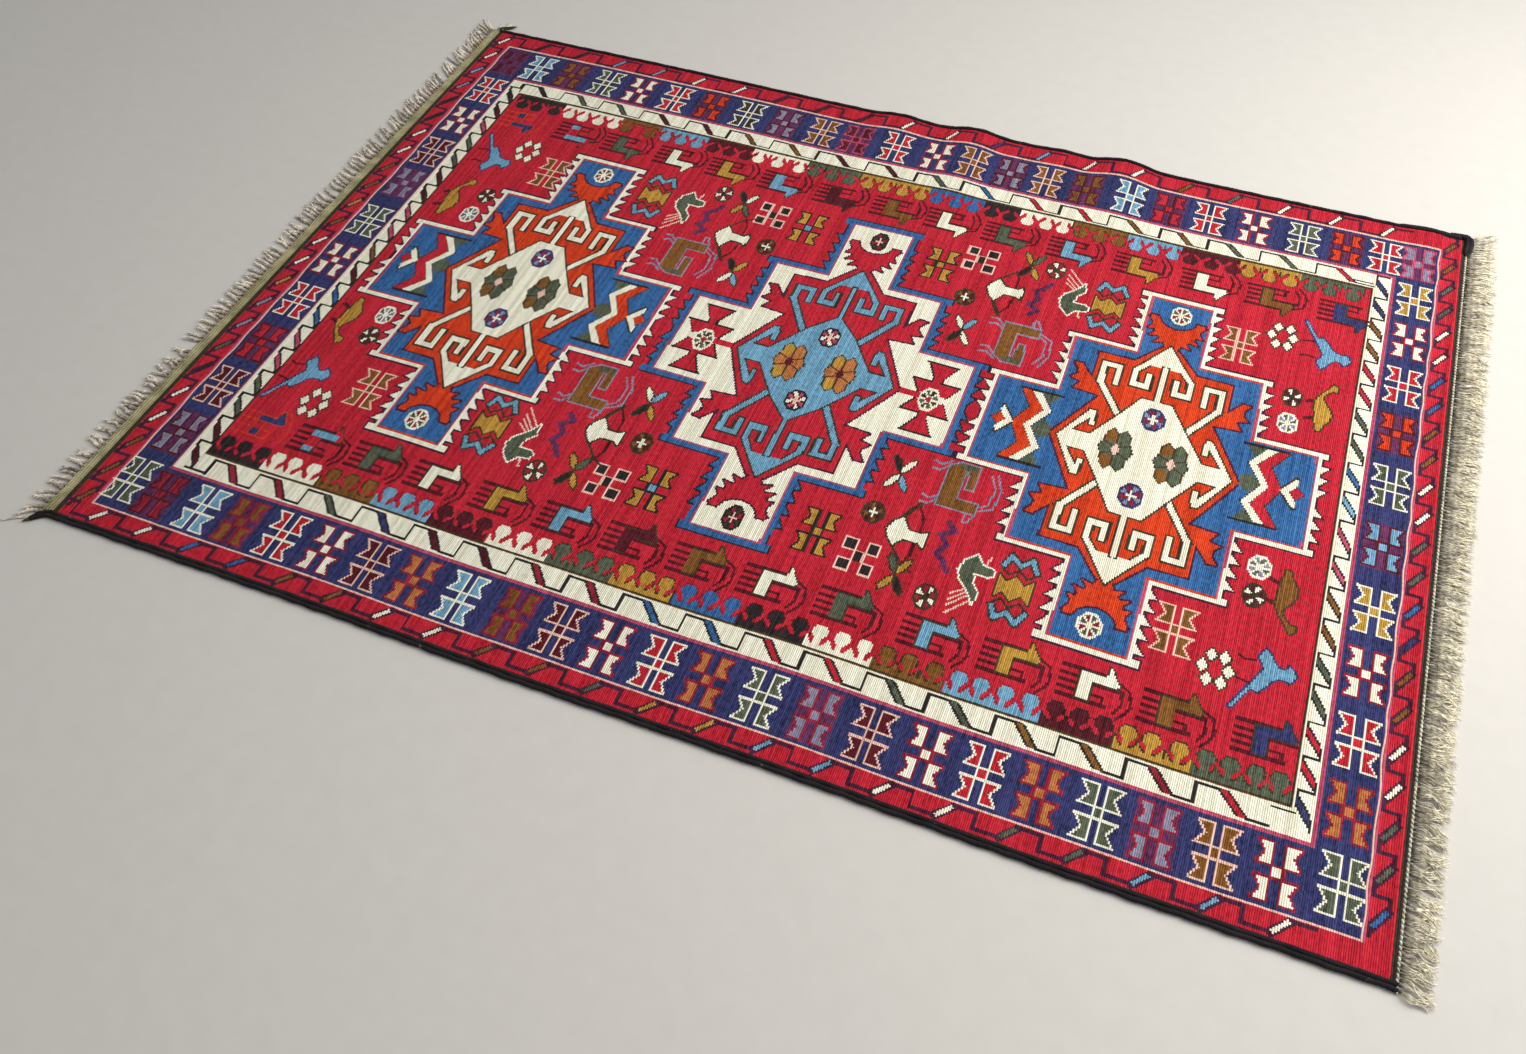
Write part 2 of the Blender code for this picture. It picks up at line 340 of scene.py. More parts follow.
for side, steps, yarns in IVORY_BARS:
    for start, end, yarn in zip(steps, steps[1:], yarns.split()):
        if side in ("near", "far"):
            top, foot, half_bar = BAR_LINES[side]
            run = end - start
            loom.line("black", [(start, foot), (start, top), (start + 0.42 * run, top)], 3.2)
            loom.line("black", [(start + 0.7 * run, foot), (end, foot)], 3.2)
            bar = ((start + 0.36 * run, top + 1), (start + 0.66 * run, foot - 1))
            slanted_bar(loom, yarn, bar, half_bar, 0.0)
        else:
            right, left, half_bar = BAR_LINES[side]
            drop = start - end
            loom.line("black", [(right, start), (left, start), (left, start - 0.2 * drop)], 3.2)
            loom.line("black", [(right, start - 0.7 * drop), (right, end)], 3.2)
            bar = ((left - 0.5, start - 0.26 * drop), (right + 0.5, start - 0.78 * drop))
            slanted_bar(loom, yarn, bar, 0.0, half_bar)
# the dark line's ends at the four corners
loom.line("black", [(-700, 436), (-684, 436), (-684, 449), (-662, 449)], 2.6)
loom.line("black", [(-690, -450), (-659, -450)], 3.2)
loom.line("black", [(661, -428), (683, -428)], 2.6)
loom.line("black", [(678, 433), (652, 433)], 2.6)

# the field
loom.block("brown", -680.5, 680.5, -423.5, 423.5)
loom.block("umber", -679.5, 679.5, -422.5, 422.5)
loom.block("madder", -677, 677, -419.5, 419.5)
TREFOILS = (
    # side, then for each group its yarn and the middles of its lobes
    ("near", (("black", (-663, -637, -609)), ("ivory", (-585, -560, -532)), ("brown", (-503, -477, -450)),
              ("sky", (-421, -395, -368)), ("burgundy", (-341, -313, -286)), ("ivory", (-259, -230, -203)),
              ("green", (-178, -148, -121)), ("ochre", (-93, -66, -41)), ("royal", (-12, 15, 43)),
              ("black", (70, 97, 126)), ("ivory", (151, 178, 205)), ("brown", (232, 258, 288)),
              ("sky", (316, 341, 369, 397)), ("burgundy", (425, 452, 478)), ("ochre", (505, 530, 560)),
              ("green", (588, 613, 640, 664)))),
    ("far", (("black", (-658, -632, -600)), ("ivory", (-573, -548, -520, -493)), ("brown", (-470, -428)),
             ("sky", (-400, -374, -346)), ("burgundy", (-318, -290, -262)), ("ivory", (-240, -208, -172)),
             ("green", (-147, -117, -90)), ("ochre", (-60, -33, -4, 24)), ("royal", (50, 79, 107)),
             ("black", (135, 163)), ("ivory", (190, 218, 243)), ("brown", (270, 298, 326)),
             ("sky", (351, 377, 405)), ("burgundy", (430, 460, 490)), ("ochre", (512, 541, 570)),
             ("green", (598, 624, 655)))),
)
TREFOIL = [(-8.6, 20), (-9.2, 26), (-5.2, 32.5), (5.2, 32.5), (9.2, 26), (8.6, 20)]
TREFOIL_RIMS = {
    "ivory": "madder", "black": "burgundy", "burgundy": "black", "sky": "garnet", "royal": "garnet",
}
for side, groups in TREFOILS:
    for yarn, lobes in groups:
        base = Pen(0, -419.5 if side == "near" else 419.5, 1, 1 if side == "near" else -1)
        rim = TREFOIL_RIMS.get(yarn, "umber")
        base.block(rim, lobes[0] - 14.8, lobes[-1] + 14.8, 0, 9)
        for middle in lobes:
            lobe = base.at(middle, 0)
            for tooth in (1, -1):
                lobe.fill(rim, [(tooth * 4, 6), (tooth * 14.8, 6), (tooth * 14.8, 19)])
            lobe.ring(rim, TREFOIL, 3.0)
        base.block(yarn, lobes[0] - 13.5, lobes[-1] + 13.5, 0, 6.0)
        for middle in lobes:
            lobe = base.at(middle, 0)
            lobe.fill(yarn, [*TREFOIL, (3.6, 13), (3.6, 5), (-3.6, 5), (-3.6, 13)])
            for tooth in (1, -1):
                lobe.fill(yarn, [(tooth * 6.5, 5), (tooth * 13.6, 5), (tooth * 13.6, 17)])


def animal(pen, yarn, reined=True):
    """A beast in profile, from the top corner of its body, with a comb behind it and a rein before it."""
    for comb in (1.5, -9, -18.5, -28):
        pen.line("burgundy", [(-19, comb), (0, comb)], 4.8)
    pen.line("burgundy", [(-19, 2), (26, 2)], 5.0)
    pen.line("burgundy", [(-20, -37.5), (33, -37.5)], 5.0)
    pen.line("burgundy", [(15, -13.5), (45, -13.5)], 4.4)
    pen.line("burgundy", [(30, -37), (30, -27), (18, -27)], 3.6)
    if reined:
        pen.line("burgundy", [(39, -9), (49, -12), (50, -30), (44, -42)], 3.4)
        pen.line("burgundy", [(45, -3), (57, -10), (60, -28), (56, -38), (48, -48)], 3.4)
    body = [(0, 0), (29, 0), (31, 14), (34, 12), (37, 5), (44.5, -6), (42, -10.5), (14.5, -10.5),
            (14.5, -35.5), (0, -35.5)]
    pen.rimmed(yarn, "umber" if yarn != "black" else "burgundy", body, 1.9)


def two_yarn_beast(pen):
    """A beast with a back and a foot in another yarn."""
    animal(pen, "madder")
    pen.block("sky", 0, 36, -10, 0)
    pen.block("sky", 0, 12, -36, -27)


def navy_beast(pen):
    """The first beast of each row: a navy one with a rust outline, its legs left open."""
    for comb in (0, -12, -24, -37):
        pen.line("rust", [(-14, comb), (10, comb)], 2.6)
    body = [(10, -2), (33, -2), (36, 12), (40, 10), (43, 3), (49, -7), (46, -11), (10, -11)]
    pen.rimmed("navy", "rust", body, 1.7)
    pen.line("rust", [(9, -11), (9, -37)], 2.4)
    pen.line("rust", [(24, -11), (24, -37)], 2.4)
    pen.block("navy", 11, 23, -36, -25)
    pen.line("rust", [(8, -38), (38, -38), (38, -25), (27, -25)], 2.5)
    pen.line("rust", [(44, 14), (54, 2), (59, -12), (60, -36)], 2.5)


LAST_BEAST = 600        # the beast beyond this place has no room for a rein
ANIMALS = (
    # side, height of the row, then each beast's place and yarn
    ("near", -337, ((-482, "green"), (-394, "ivory"), (-300, "ochre"), (-210, "sky"), (-122, "burgundy"),
                    (-32, "brown"), (58, "ivory"), (152, "green"), (256, "sky"), (350, "ochre"),
                    (440, "ivory"), (531, "brown"), (631, "navy"))),
    ("far", 337, ((-468, "green"), (-374, "ivory"), (-286, "ochre"), (-198, "sky"), (-106, "burgundy"),
                  (-16, "brown"), (68, "ivory"), (157, "green"), (254, "sky"), (350, "ochre"), (446, "ivory"),
                  (537, "brown"), (635, "navy"))),
)
for side, height, beasts in ANIMALS:
    up = 1 if side == "near" else -1
    for x, yarn in beasts:
        animal(Pen(x, height, 1, up), yarn, x < LAST_BEAST)
    two_yarn_beast(Pen(-568 if side == "near" else -552, height, 1, up))
    navy_beast(Pen(-660, height, 1, up))

# the three medallions: a stepped cross in each, with the same hooked figure in it
FIGURE = [(119, 0), (73, 86), (109, 89), (101, 103), (116, 107), (108, 117), (109, 125), (116, 136),
          (106, 137), (88, 113), (89, 166), (41, 167), (9, 208)]
CLAW = [(9, 208), (12, 216), (25, 213), (18, 222), (21, 227), (33, 224), (26, 234), (28, 239), (37, 238),
        (31, 248), (34, 255), (38, 262), (36, 266), (27, 266), (22, 255), (13, 248), (0, 245)]
ARROW = [(110, 0), (79, 57), (72, 58), (70, 50), (70, 31), (76, 31), (76, 44), (95, 15)]


def flower(pen, petals, heart):
    """Six petals round a lozenge."""
    outline = [(-8, 35), (0, 26), (8, 35), (15, 26), (16, 12), (21, 0), (16, -12), (15, -26), (8, -35),
               (0, -26), (-8, -35), (-15, -26), (-16, -12), (-21, 0), (-16, 12), (-15, 26)]
    pen.rimmed(petals[0], "umber", outline, 1.6)
    for up in (1, -1):
        half = pen.at(0, 0, 1, up)
        half.fill(petals[1], [(-15, 26), (-8, 35), (0, 26), (-3, 12), (-16, 12)])
        half.line("umber", [(0, 28), (0, 9)], 2.4)
        half.line("umber", [(-18, 12), (-4, 5)], 2.0)
        half.line("umber", [(18, 12), (4, 5)], 2.0)
    pen.fill(heart, [(0, 11), (6, 0), (0, -11), (-6, 0)])


def rosette(pen, half_width, half_height, rim, petals, heart=None):
    """An oval of one colour with eight wedge petals, and a small cross in the middle of some."""
    pen.fill(rim, oval(half_width, half_height))
    for number in range(8):
        angle = math.pi * (number + 0.5) / 4
        wedge = [(-0.20, 0.30), (-0.27, 0.86), (0.27, 0.86), (0.20, 0.30)]      # turn, reach
        pen.fill(petals[number % len(petals)], [
            (reach * half_width * math.cos(angle + turn), reach * half_height * math.sin(angle + turn))
            for turn, reach in wedge])
    if heart:
        pen.line(heart, [(0, -half_height * 0.36), (0, half_height * 0.36)], 2.8)
        pen.line(heart, [(-half_width * 0.36, 0), (half_width * 0.36, 0)], 3.0)


def figure(pens, ground, body, hook_top, crown, lower_hook, outer_hook):
    """The hooked figure: its ground, the outer hooks, the top triangles with inner hooks, the body."""
    quartered(pens, ground, "aubergine", FIGURE, [(0, 208), (0, 0)], 2.9)
    quartered(pens, ground, "aubergine", CLAW, [(0, 208)], 2.7)
    for pen in pens:
        pen.fill(ground, [(0, 200), (8, 206), (8, 214), (0, 214)])
        pen.line("umber", outer_hook, 13.2)
    for pen in pens:
        pen.line(body, outer_hook, 7.6)
    quartered(pens, body, "umber", hook_top[:-1], [hook_top[-1]], 2.6)
    quartered(pens, body, "umber", [(3, 168), (3, 100)], [(0, 100), (0, 168)], 2.4)
    quartered(pens, body, "umber", ARROW, (), 2.5)
    quartered(pens, body, "umber", [(92, 15), (71, 15), (66, 23), lower_hook, *crown], [(0, 0), (92, 0)], 2.6)
    for pen in pens:
        pen.fill(body, [(0, -1.2), (110, -1.2), (110, 0), (100.5, 17), (94, 15), (0, 15)])
        pen.fill(body, [(0, 101), (2.8, 101), (2.8, 166), (0, 166)])


def teeth(pen, x, tips, depth, yarn, rim):
    """A row of teeth on the outside of an upright bar."""
    for tip in tips:
        pen.fill(rim, [(x, tip + 4.0), (x + depth + 3.5, tip + 1.5), (x, tip - 18.5)])
        pen.fill(yarn, [(x - 0.5, tip + 0.5), (x + depth, tip - 0.5), (x - 0.5, tip - 14)])


ARM_TIPS, SHOULDER_TIPS, WIDE_TIPS = (292, 270, 250, 230, 211), (167, 147, 127, 107), (62, 42, 22)
MEDALLIONS = (
    # middle, half widths of the far and the near arm, of the shoulders and of the wide arms
    (-449.0, 43.5, 43.5, 116.0, 201.0),
    (441.0, 39.8, 44.0, 123.5, 204.0),
)
SIDE_TRIANGLE = [(0, 210), (33, 161), (39.5, 152), (39.5, 119), (14, 119), (14, 149), (21, 149), (21, 129),
                 (32.5, 129), (32.5, 150), (21, 165), (0, 165)]
SIDE_OUTER_HOOK = [(45, 62), (77.5, 113), (77.5, 148), (57.5, 148), (57.5, 117)]
BEND = [(155, 0), (170, 0), (153.5, 33), (172, 63), (159.5, 63), (137, 33)]
PALE_BEND = [(145.5, 0), (154.5, 0), (136, 33), (157.5, 62), (145, 62), (125.5, 33)]
for middle, far_arm, near_arm, shoulder, wide in MEDALLIONS:
    pens = [Pen(middle, -2.5, across, up, -0.01) for across in (1, -1) for up in (1, -1)]
    for pen in pens:
        arm = far_arm if pen.up > 0 else near_arm
        pen.block("aubergine", 0, arm + 18.5, 298, 314)
        pen.block("aubergine", 0, arm + 10.5, 190, 301)
        pen.block("aubergine", 0, shoulder + 15.5, 180, 194)
        pen.block("aubergine", 0, shoulder + 10, 84, 183)
        pen.block("aubergine", 0, wide + 17.5, 73, 87.5)
        pen.block("aubergine", 0, wide + 10, 0, 76)
    for pen in pens:
        arm = far_arm if pen.up > 0 else near_arm
        teeth(pen, arm + 7, ARM_TIPS, 11, "ivory", "aubergine")
        teeth(pen, shoulder + 6.5, SHOULDER_TIPS, 11, "ivory", "aubergine")
        teeth(pen, wide + 7, WIDE_TIPS, 11, "ivory", "aubergine")
        pen.block("ivory", 0, arm + 17, 300, 310)
        pen.block("ivory", 0, arm + 7.5, 184, 301)
        pen.block("ivory", 0, shoulder + 13, 182, 190.5)
        pen.block("ivory", 0, shoulder + 7, 76, 183)
        pen.block("ivory", 0, wide + 15, 75.5, 84.5)
        pen.block("ivory", 0, wide + 7, 0, 76)
    for pen in pens:
        arm = far_arm if pen.up > 0 else near_arm
        pen.block("rust", 0, arm + 2.5, 182, 303)
        pen.block("rose", arm, arm + 3, 182, 303)
        pen.block("rust", 0, shoulder + 2.5, 76, 184.8)
        pen.block("rose", shoulder, shoulder + 3, 76, 184.8)
        pen.block("rust", 0, wide + 2.5, 0, 78.5)
        pen.block("rose", wide, wide + 3, 0, 78.5)
        pen.block("royal", 0, arm, 182, 300)
        pen.block("royal", 0, shoulder, 76, 182)
        pen.block("royal", 0, wide, 0, 75.5)
    figure(pens, "rust", "ivory", SIDE_TRIANGLE, [(20, 101), (0, 101)], (41, 64), SIDE_OUTER_HOOK)
    for across in (1, -1):
        bend = "madder" if (across > 0) == (middle > 0) else "rust"
        height = 4 if middle > 0 and across > 0 else -1
        halves = [Pen(middle, height, across, up) for up in (1, -1)]
        for half in halves:
            half.ring("umber", BEND, 3.4)
            half.ring("umber", PALE_BEND, 2.8)
            half.line("umber", [(171, 3), (186, 24)], 7)
        for half in halves:
            half.fill("green", [(120, 64), (148, 64), (130, 45)])
            half.fill("green", [(145, 0), (131, 17), (119, 9), (119, 0)])
            half.fill(bend, BEND)
            half.fill("ivory", PALE_BEND)
            half.block("black", 115, 173, 62.5, 66.5)
            half.fill("ivory", [(168.5, 0), (187, 26), (188, 15), (181, 0)])
        lozenge = [(180, 0), (188, 10.5), (196.5, 0), (188, -10.5)]
        halves[0].rimmed(bend, "umber", lozenge, 1.1)
    flower(Pen(middle + 35, -2), ("green", "brown"), "blush")
    flower(Pen(middle - 35, -2), ("green", "brown"), "blush")
    rosette(Pen(middle, 66), 15, 20, "navy", ("garnet", "grey"), "ivory")
    rosette(Pen(middle - 1, -70), 15, 20, "navy", ("garnet", "grey"), "ivory")
    rosette(Pen(middle - 1, 273), 14, 18, "ivory", ("garnet", "green"))
    rosette(Pen(middle - 6, -276), 14, 18, "ivory", ("garnet", "green"))

# the middle medallion
MID_TRIANGLE = [(0, 205), (41, 150), (41, 121), (15, 121), (15, 150), (21, 150), (21, 131), (34, 131),
                (34, 147), (21, 168), (0, 168)]
MID_OUTER_HOOK = [(40, 62), (75, 120), (75, 145), (54, 145), (54, 122)]
pens = [Pen(-1, -1, across, up, 0.0 if up > 0 else -0.02) for across in (1, -1) for up in (1, -1)]
for pen in pens:
    pen.block("black", 0, 60.5, 300, 314.5)
    pen.block("black", 0, 54.5, 190, 301)
    pen.block("black", 0, 140, 180, 193.5)
    pen.block("black", 0, 133.5, 86, 181)
    pen.block("black", 0, 220, 76, 88.5)
    pen.block("black", 0, 211.5, 0, 77)
    teeth(pen, 53, (272, 250, 229, 208), 8, "royal", "black")
    teeth(pen, 132, (163, 143, 123, 104), 8, "royal", "black")
    teeth(pen, 210, (60, 40, 20), 7, "royal", "black")
    pen.block("royal", 0, 59, 300, 312)
    pen.block("royal", 0, 53, 180, 301)
    pen.block("royal", 0, 138, 179, 191.5)
    pen.block("royal", 0, 132, 76, 181)
    pen.block("royal", 0, 218, 75, 86)
    pen.block("royal", 0, 210, 0, 77)
for pen in pens:
    pen.block("rose", 0, 46.5, 180, 303)
    pen.block("rose", 0, 125, 76, 183)
    pen.block("rose", 0, 203, 0, 78.5)
    pen.block("ivory", 0, 44, 180, 300.5)
    pen.block("ivory", 0, 122.5, 76, 180.5)
    pen.block("ivory", 0, 200.5, 0, 76)
figure(pens, "madder", "sky", MID_TRIANGLE, [(3, 101), (0, 105)], (33, 70), MID_OUTER_HOOK)
for pen in pens:
    bow = [(162, 65), (182, 65), (168, 38), (168, 30), (194, 30), (181, 6), (162, 6)]
    pen.line("black", bow[1:-1], 3.4)
    pen.fill("madder", bow)
    pen.line("black", [(162, 65), (183, 65)], 3.4)
    pen.line("black", [(168, 30), (195, 30)], 3.4)
    pen.fill("madder", [(162, 65), (142, 65), (156, 38), (156, 30), (130, 30), (143, 6), (162, 6)])
    pen.line("black", [(142, 65), (156, 38), (156, 30), (130, 30), (143, 6)], 3.0)
    pen.block("madder", 119, 150, 0, 5)
    pen.line("black", [(162, 65), (141, 65)], 3.4)
for x in (-162, 160):
    rosette(Pen(x, -4), 13.5, 21, "ivory", ("green", "umber"))
    Pen(x, -4).fill("madder", oval(3.6, 5))
flower(Pen(35, -2), ("tan", "ochre"), "burgundy")
flower(Pen(-37, -2), ("tan", "ochre"), "burgundy")
rosette(Pen(-1, 60), 14.5, 19, "black", ("ivory", "rose"), "blush")
rosette(Pen(-3, -66), 14.5, 19, "black", ("ivory", "rose"), "blush")
rosette(Pen(1, 274), 13, 20, "black", ("garnet", "umber"), "blush")
rosette(Pen(-6, -277), 13, 20, "black", ("garnet", "umber"), "blush")


# the small figures of the field, each drawn as it stands at the upper right
def zigzag_stack(pen):
    for up in (1, -1):
        half = pen.at(0, 0, 1, up)
        half.line("umber", [(-19, 31), (-13, 46), (0, 35), (12, 47), (20, 31)], 10.5)
        half.line("sky", [(-19, 31), (-13, 46), (0, 35), (12, 47), (20, 31)], 5.6)
        half.line("umber", [(-20, 26), (-11, 18), (0, 28), (11, 18), (20, 26)], 3.2)
    edge = [(-21, 17), (-12, 7), (-1, 18), (10, 7), (20, 17)]
    pen.rimmed("ochre", "umber", [*edge, *[(x, -y) for x, y in reversed(edge)]], 2.3)


def striped_bird(pen):
    pen.line("blush", [(-13, 57), (12, 28)], 2.6)
    for start, end in (((-14, 46), (6, 24)), ((-14, 37), (3, 20)), ((-14, 28), (0, 17))):
        pen.line("blush", [start, end], 2.4)
    pen.line("blush", [(14, -21), (18, -37)], 3)
    pen.rimmed("green", "ivory", [(13, 35), (15, 17), (6, 6), (4, -9), (21, -9), (27, -13), (25, -21),
                                  (11, -23), (2, -36), (-10, -23), (-14, -8), (-10, 4), (1, 15),
                                  (9, 26)], 2.2)


def squiggle(pen):
    pen.line("plum", [(11, 35), (3, 22), (-7, 14), (1, -2), (-9, -15), (5, -25), (-4, -35)], 7.5)


def crossed_leaves(pen, yarns):
    """Four leaves that meet in a cross, clockwise from the upper left."""
    for (x, y), yarn in zip(((-1, 1), (1, 1), (1, -1), (-1, -1)), yarns):
        leaf = pen.at(0, 0, x, y)
        leaf.rimmed(yarn, "umber", [(1, 2), (7, 7), (14, 21), (13, 27), (6, 21), (0, 9)], 2.0)


def five_squares(pen):
    for x, y in ((-14.5, 16), (14.5, 16), (-14.5, -16), (14.5, -16)):
        square = pen.at(x, y)
        square.block("blush", -9, 9, -10, 10)
        square.block("black", -6.2, 6.2, -7, 7)
    pen.block("blush", -8, 8, -8, 8)
    pen.block("black", -4.5, 4.5, -7.5, 7.5)


def jug(pen):
    pen.line("umber", [(-10, 26), (2, 41), (13, 49), (20, 53)], 3.4)
    pen.line("burgundy", [(5, 46), (12, 30), (12, 12)], 3)
    pen.line("umber", [(-11, -26), (-6, -36), (3, -51)], 6)
    pen.line("burgundy", [(3, -46), (12, -30), (14, -10)], 3)
    pen.rimmed("ivory", "umber", [(-13, 22), (-3, 9), (16, 8), (22, 14), (24, 8), (23, -10), (16, -6),
                                  (0, -6), (-11, -24), (-20, -14), (-26, 0), (-22, 10)], 2.8)


def beast_in_outline(pen):
    """A brown beast with grey lines round it."""
    pen.line("grey", [(22, 27), (45, 14), (48, -16), (38, -40)], 2.8)
    pen.line("grey", [(26, 19), (38, 10), (40, -18), (31, -36)], 2.6)
    for up in (0, -58):
        pen.line("grey", [(-22, 20 + up), (-34, 33 + up * 0.98), (-43, 33 + up)], 3.2)
        pen.line("grey", [(-22, 14 + up), (-34, 24 + up), (-43, 21 + up)], 3.2)
    pen.line("grey", [(14, 30), (15, 46), (20, 46), (26, 30)], 3.0)
    body = [(-23, 30), (25, 30), (25, 14), (-3, 14), (-3, -34), (3, -34), (5, -6), (13, -6), (14, -45),
            (-10, -45), (-23, -36)]
    pen.rimmed("brown", "grey", body, 2.4)
    pen.fill("green", [(-12, -36), (12, -36), (12, -43), (-10, -43)])


def lozenge_ring(pen):
    places = [(-8, 17), (8, 17), (-15, 0), (14, 0), (-7, -17), (8, -17)]
    for width in (2.8, 0.0):
        for x, y in places:
            lozenge = [(0, 9.5 + width), (6.4 + width, 0), (0, -9.5 - width), (-6.4 - width, 0)]
            pen.at(x, y).fill("umber" if width else "ivory", lozenge)


def perched_bird(pen):
    pen.line("burgundy", [(-30, 21), (-14, 24)], 3)
    pen.line("burgundy", [(-29, -9), (-22, -6), (-12, -8)], 3)
    pen.line("navy", [(-30, 61), (-11, 24)], 7)
    pen.rimmed("sky", "navy", [(-11, 31), (-4, 33), (4, 23), (9, 14), (15, 9), (24, 8), (28, 10), (32, 5),
                               (34, -1), (31, -7), (25, -12), (23, -6), (15, -5), (8, -13), (4, -21),
                               (-1, -27), (-5, -21), (-8, -13), (-3, -6), (-1, 1), (-5, 9), (-9, 18)], 2.2)
    pen.line("sky", [(-29, 60), (-10, 24)], 3.2)


def long_neck(pen, yarn):
    pen.line("burgundy", [(-20, 18), (-11, 21)], 6)
    pen.line("burgundy", [(-20, -14), (-11, -10)], 6)
    pen.rimmed(yarn, "umber", [(9, 58), (15, 53), (14, 46), (7, 45), (1, 38), (-3, 30), (0, 22), (7, 12),
                               (11, 2), (10, -10), (3, -20), (0, -31), (-5, -33), (-8, -18), (-10, 0),
                               (-12, 18), (-9, 27), (-4, 37), (4, 49)], 2.3)


SMALL_FIGURES = (
    # drawing, its own settings, then its place at the upper right, upper left, lower right and lower left
    (zigzag_stack, (), (342, 255), (-355, 255), (342, -258), (-360, -248)),
    (striped_bird, (), (290, 255), (-303, 247), (288, -261), (-311, -260)),
    (rosette, (14, 19, "umber", ("ivory", "garnet")), (257, 304), (-257, 297), (248, -305), (-269, -297)),
    (squiggle, (), (247, 237), (-258, 233), (249, -226), (-266, -229)),
    (five_squares, (), (150, 288), (-169, 277), (156, -280), (-176, -281)),
    (jug, (), (200, 236), (-207, 208), (201, -226), (-213, -208)),
    (rosette, (14, 18, "umber", ("burgundy", "brown"), "ivory"),
     (150, 204), (-152, 207), (152, -209), (-162, -207)),
    (beast_in_outline, (), (240, 145), (-258, 148), (243, -138), (-260, -144)),
    (lozenge_ring, (), (576, 281), (-590, 286), (579, -281), (-598, -297)),
    (perched_bird, (), (632, 262), (-636, 246), (630, -263), (-642, -249)),
    (long_neck, ("ochre",), (643, 152), (-643, 136), (-646, -132)),
    (long_neck, ("brown",), (640, -150)),
    (rosette, (13, 18, "umber", ("ivory", "burgundy")), (603, 169), (-597, 165), (604, -167), (-599, -162)),
    (rosette, (13.5, 18, "ivory", ("green", "grey")), (603, 121), (-600, 117), (604, -124), (-600, -118)),
)
for drawing, settings, *places in SMALL_FIGURES:
    for x, y in places:
        # the striped birds at the left are turned over
        turned = drawing is striped_bird and x < 0
        up = (1 if y > 0 else -1) * (-1 if turned else 1)
        drawing(Pen(x, y, 1, up), *settings)
LEAVES = (
    # place, then the yarns of its leaves, clockwise from the upper left
    ((222, 301), ("ochre", "green", "ochre", "black")),
    ((-218, 286), ("black", "ivory", "green", "ochre")),
    ((205, -288), ("green", "ochre", "black", "ochre")),
    ((-223, -280), ("ochre", "green", "ochre", "black")),
    ((164, 138), ("ivory", "sky", "ivory", "black")),
    ((-178, 138), ("black", "ochre", "sky", "ivory")),
    ((165, -138), ("black", "ivory", "sky", "ivory")),
    ((-180, -140), ("ivory", "sky", "ochre", "black")),
)
for (x, y), yarns in LEAVES:
    crossed_leaves(Pen(x, y), yarns)
OCHRE_STARS = (
    # place, the middle's yarn
    ((98, 257), "ochre"), ((-109, 268), "sky"), ((97, -262), "ochre"), ((-119, -270), "sky"),
)
for (x, y), heart in OCHRE_STARS:
    filled_star(Pen(x, y), "ochre", "black", heart)
for x, y in ((524, 244), (-531, 248), (527, -246), (-543, -250)):
    outlined_star(Pen(x, y), "brown", "blush")


PALE_LINES = (16, 678)          # the rows of the thin pale line at the two ends, which waver
WAVER_RUN = 9                   # the longest run of stitches in such a row
LONGEST_RUN = 200               # and in a plain one
RIPPLES_START = STITCHES - 216  # where the ripples of the far edge begin in a row
RIPPLE_RUN = 12                 # the longest run of stitches in a ripple
MOST_ROWS, MOST_RIPPLED_ROWS = 9, 4     # in one cell


def woven_cells():
    """Joins neighbouring stitches of one yarn along each row, and equal runs of neighbouring rows. The
    cells stay small where a row wavers or lies on a ripple."""
    cells, open_runs = [], {}
    row_middles = [LEFT + (row + 0.5) * ROW for row in range(ROWS)]
    rippled = [any(abs(x - 1000 * middle) < 1000 * half_width for middle, half_width, *_ in RIPPLES)
               for x in row_middles]
    for row in range(ROWS):
        breaks = set(np.flatnonzero(np.diff(chart[row])) + 1) | {0, STITCHES}
        from_line = min(abs(row - line) for line in PALE_LINES)
        if from_line < 2:
            breaks |= set(range(0, STITCHES, WAVER_RUN * (1 + from_line)))
        else:
            breaks |= set(range(0, RIPPLES_START, LONGEST_RUN))
        breaks |= set(range(RIPPLES_START, STITCHES, RIPPLE_RUN)) if rippled[row] else {4 * LONGEST_RUN}
        ends = [int(stitch) for stitch in sorted(breaks)]
        runs = {}
        for start, end in zip(ends, ends[1:]):
            key = (start, end, int(chart[row, start]))
            first = open_runs.get(key, row)
            most = MOST_RIPPLED_ROWS if rippled[row] and end > RIPPLES_START else MOST_ROWS
            runs[key] = row if row - first >= min(most, 2 * (end - start)) else first
            if key in open_runs and runs[key] == row:
                cells.append((open_runs[key], row, *key))
        cells += [(first, row, *key) for key, first in open_runs.items() if key not in runs]
        open_runs = runs
    return cells + [(first, ROWS, *key) for key, first in open_runs.items()]


# how far rows, stitches and the pale lines stray from their places, in millimetres
UNEVEN_ROW, UNEVEN_STITCH = 0.22, 0.2
ROW_WAVER, STITCH_WAVER = 0.4, 0.6
LINE_WAVER, FINE_LINE_WAVER = 0.8, 0.4


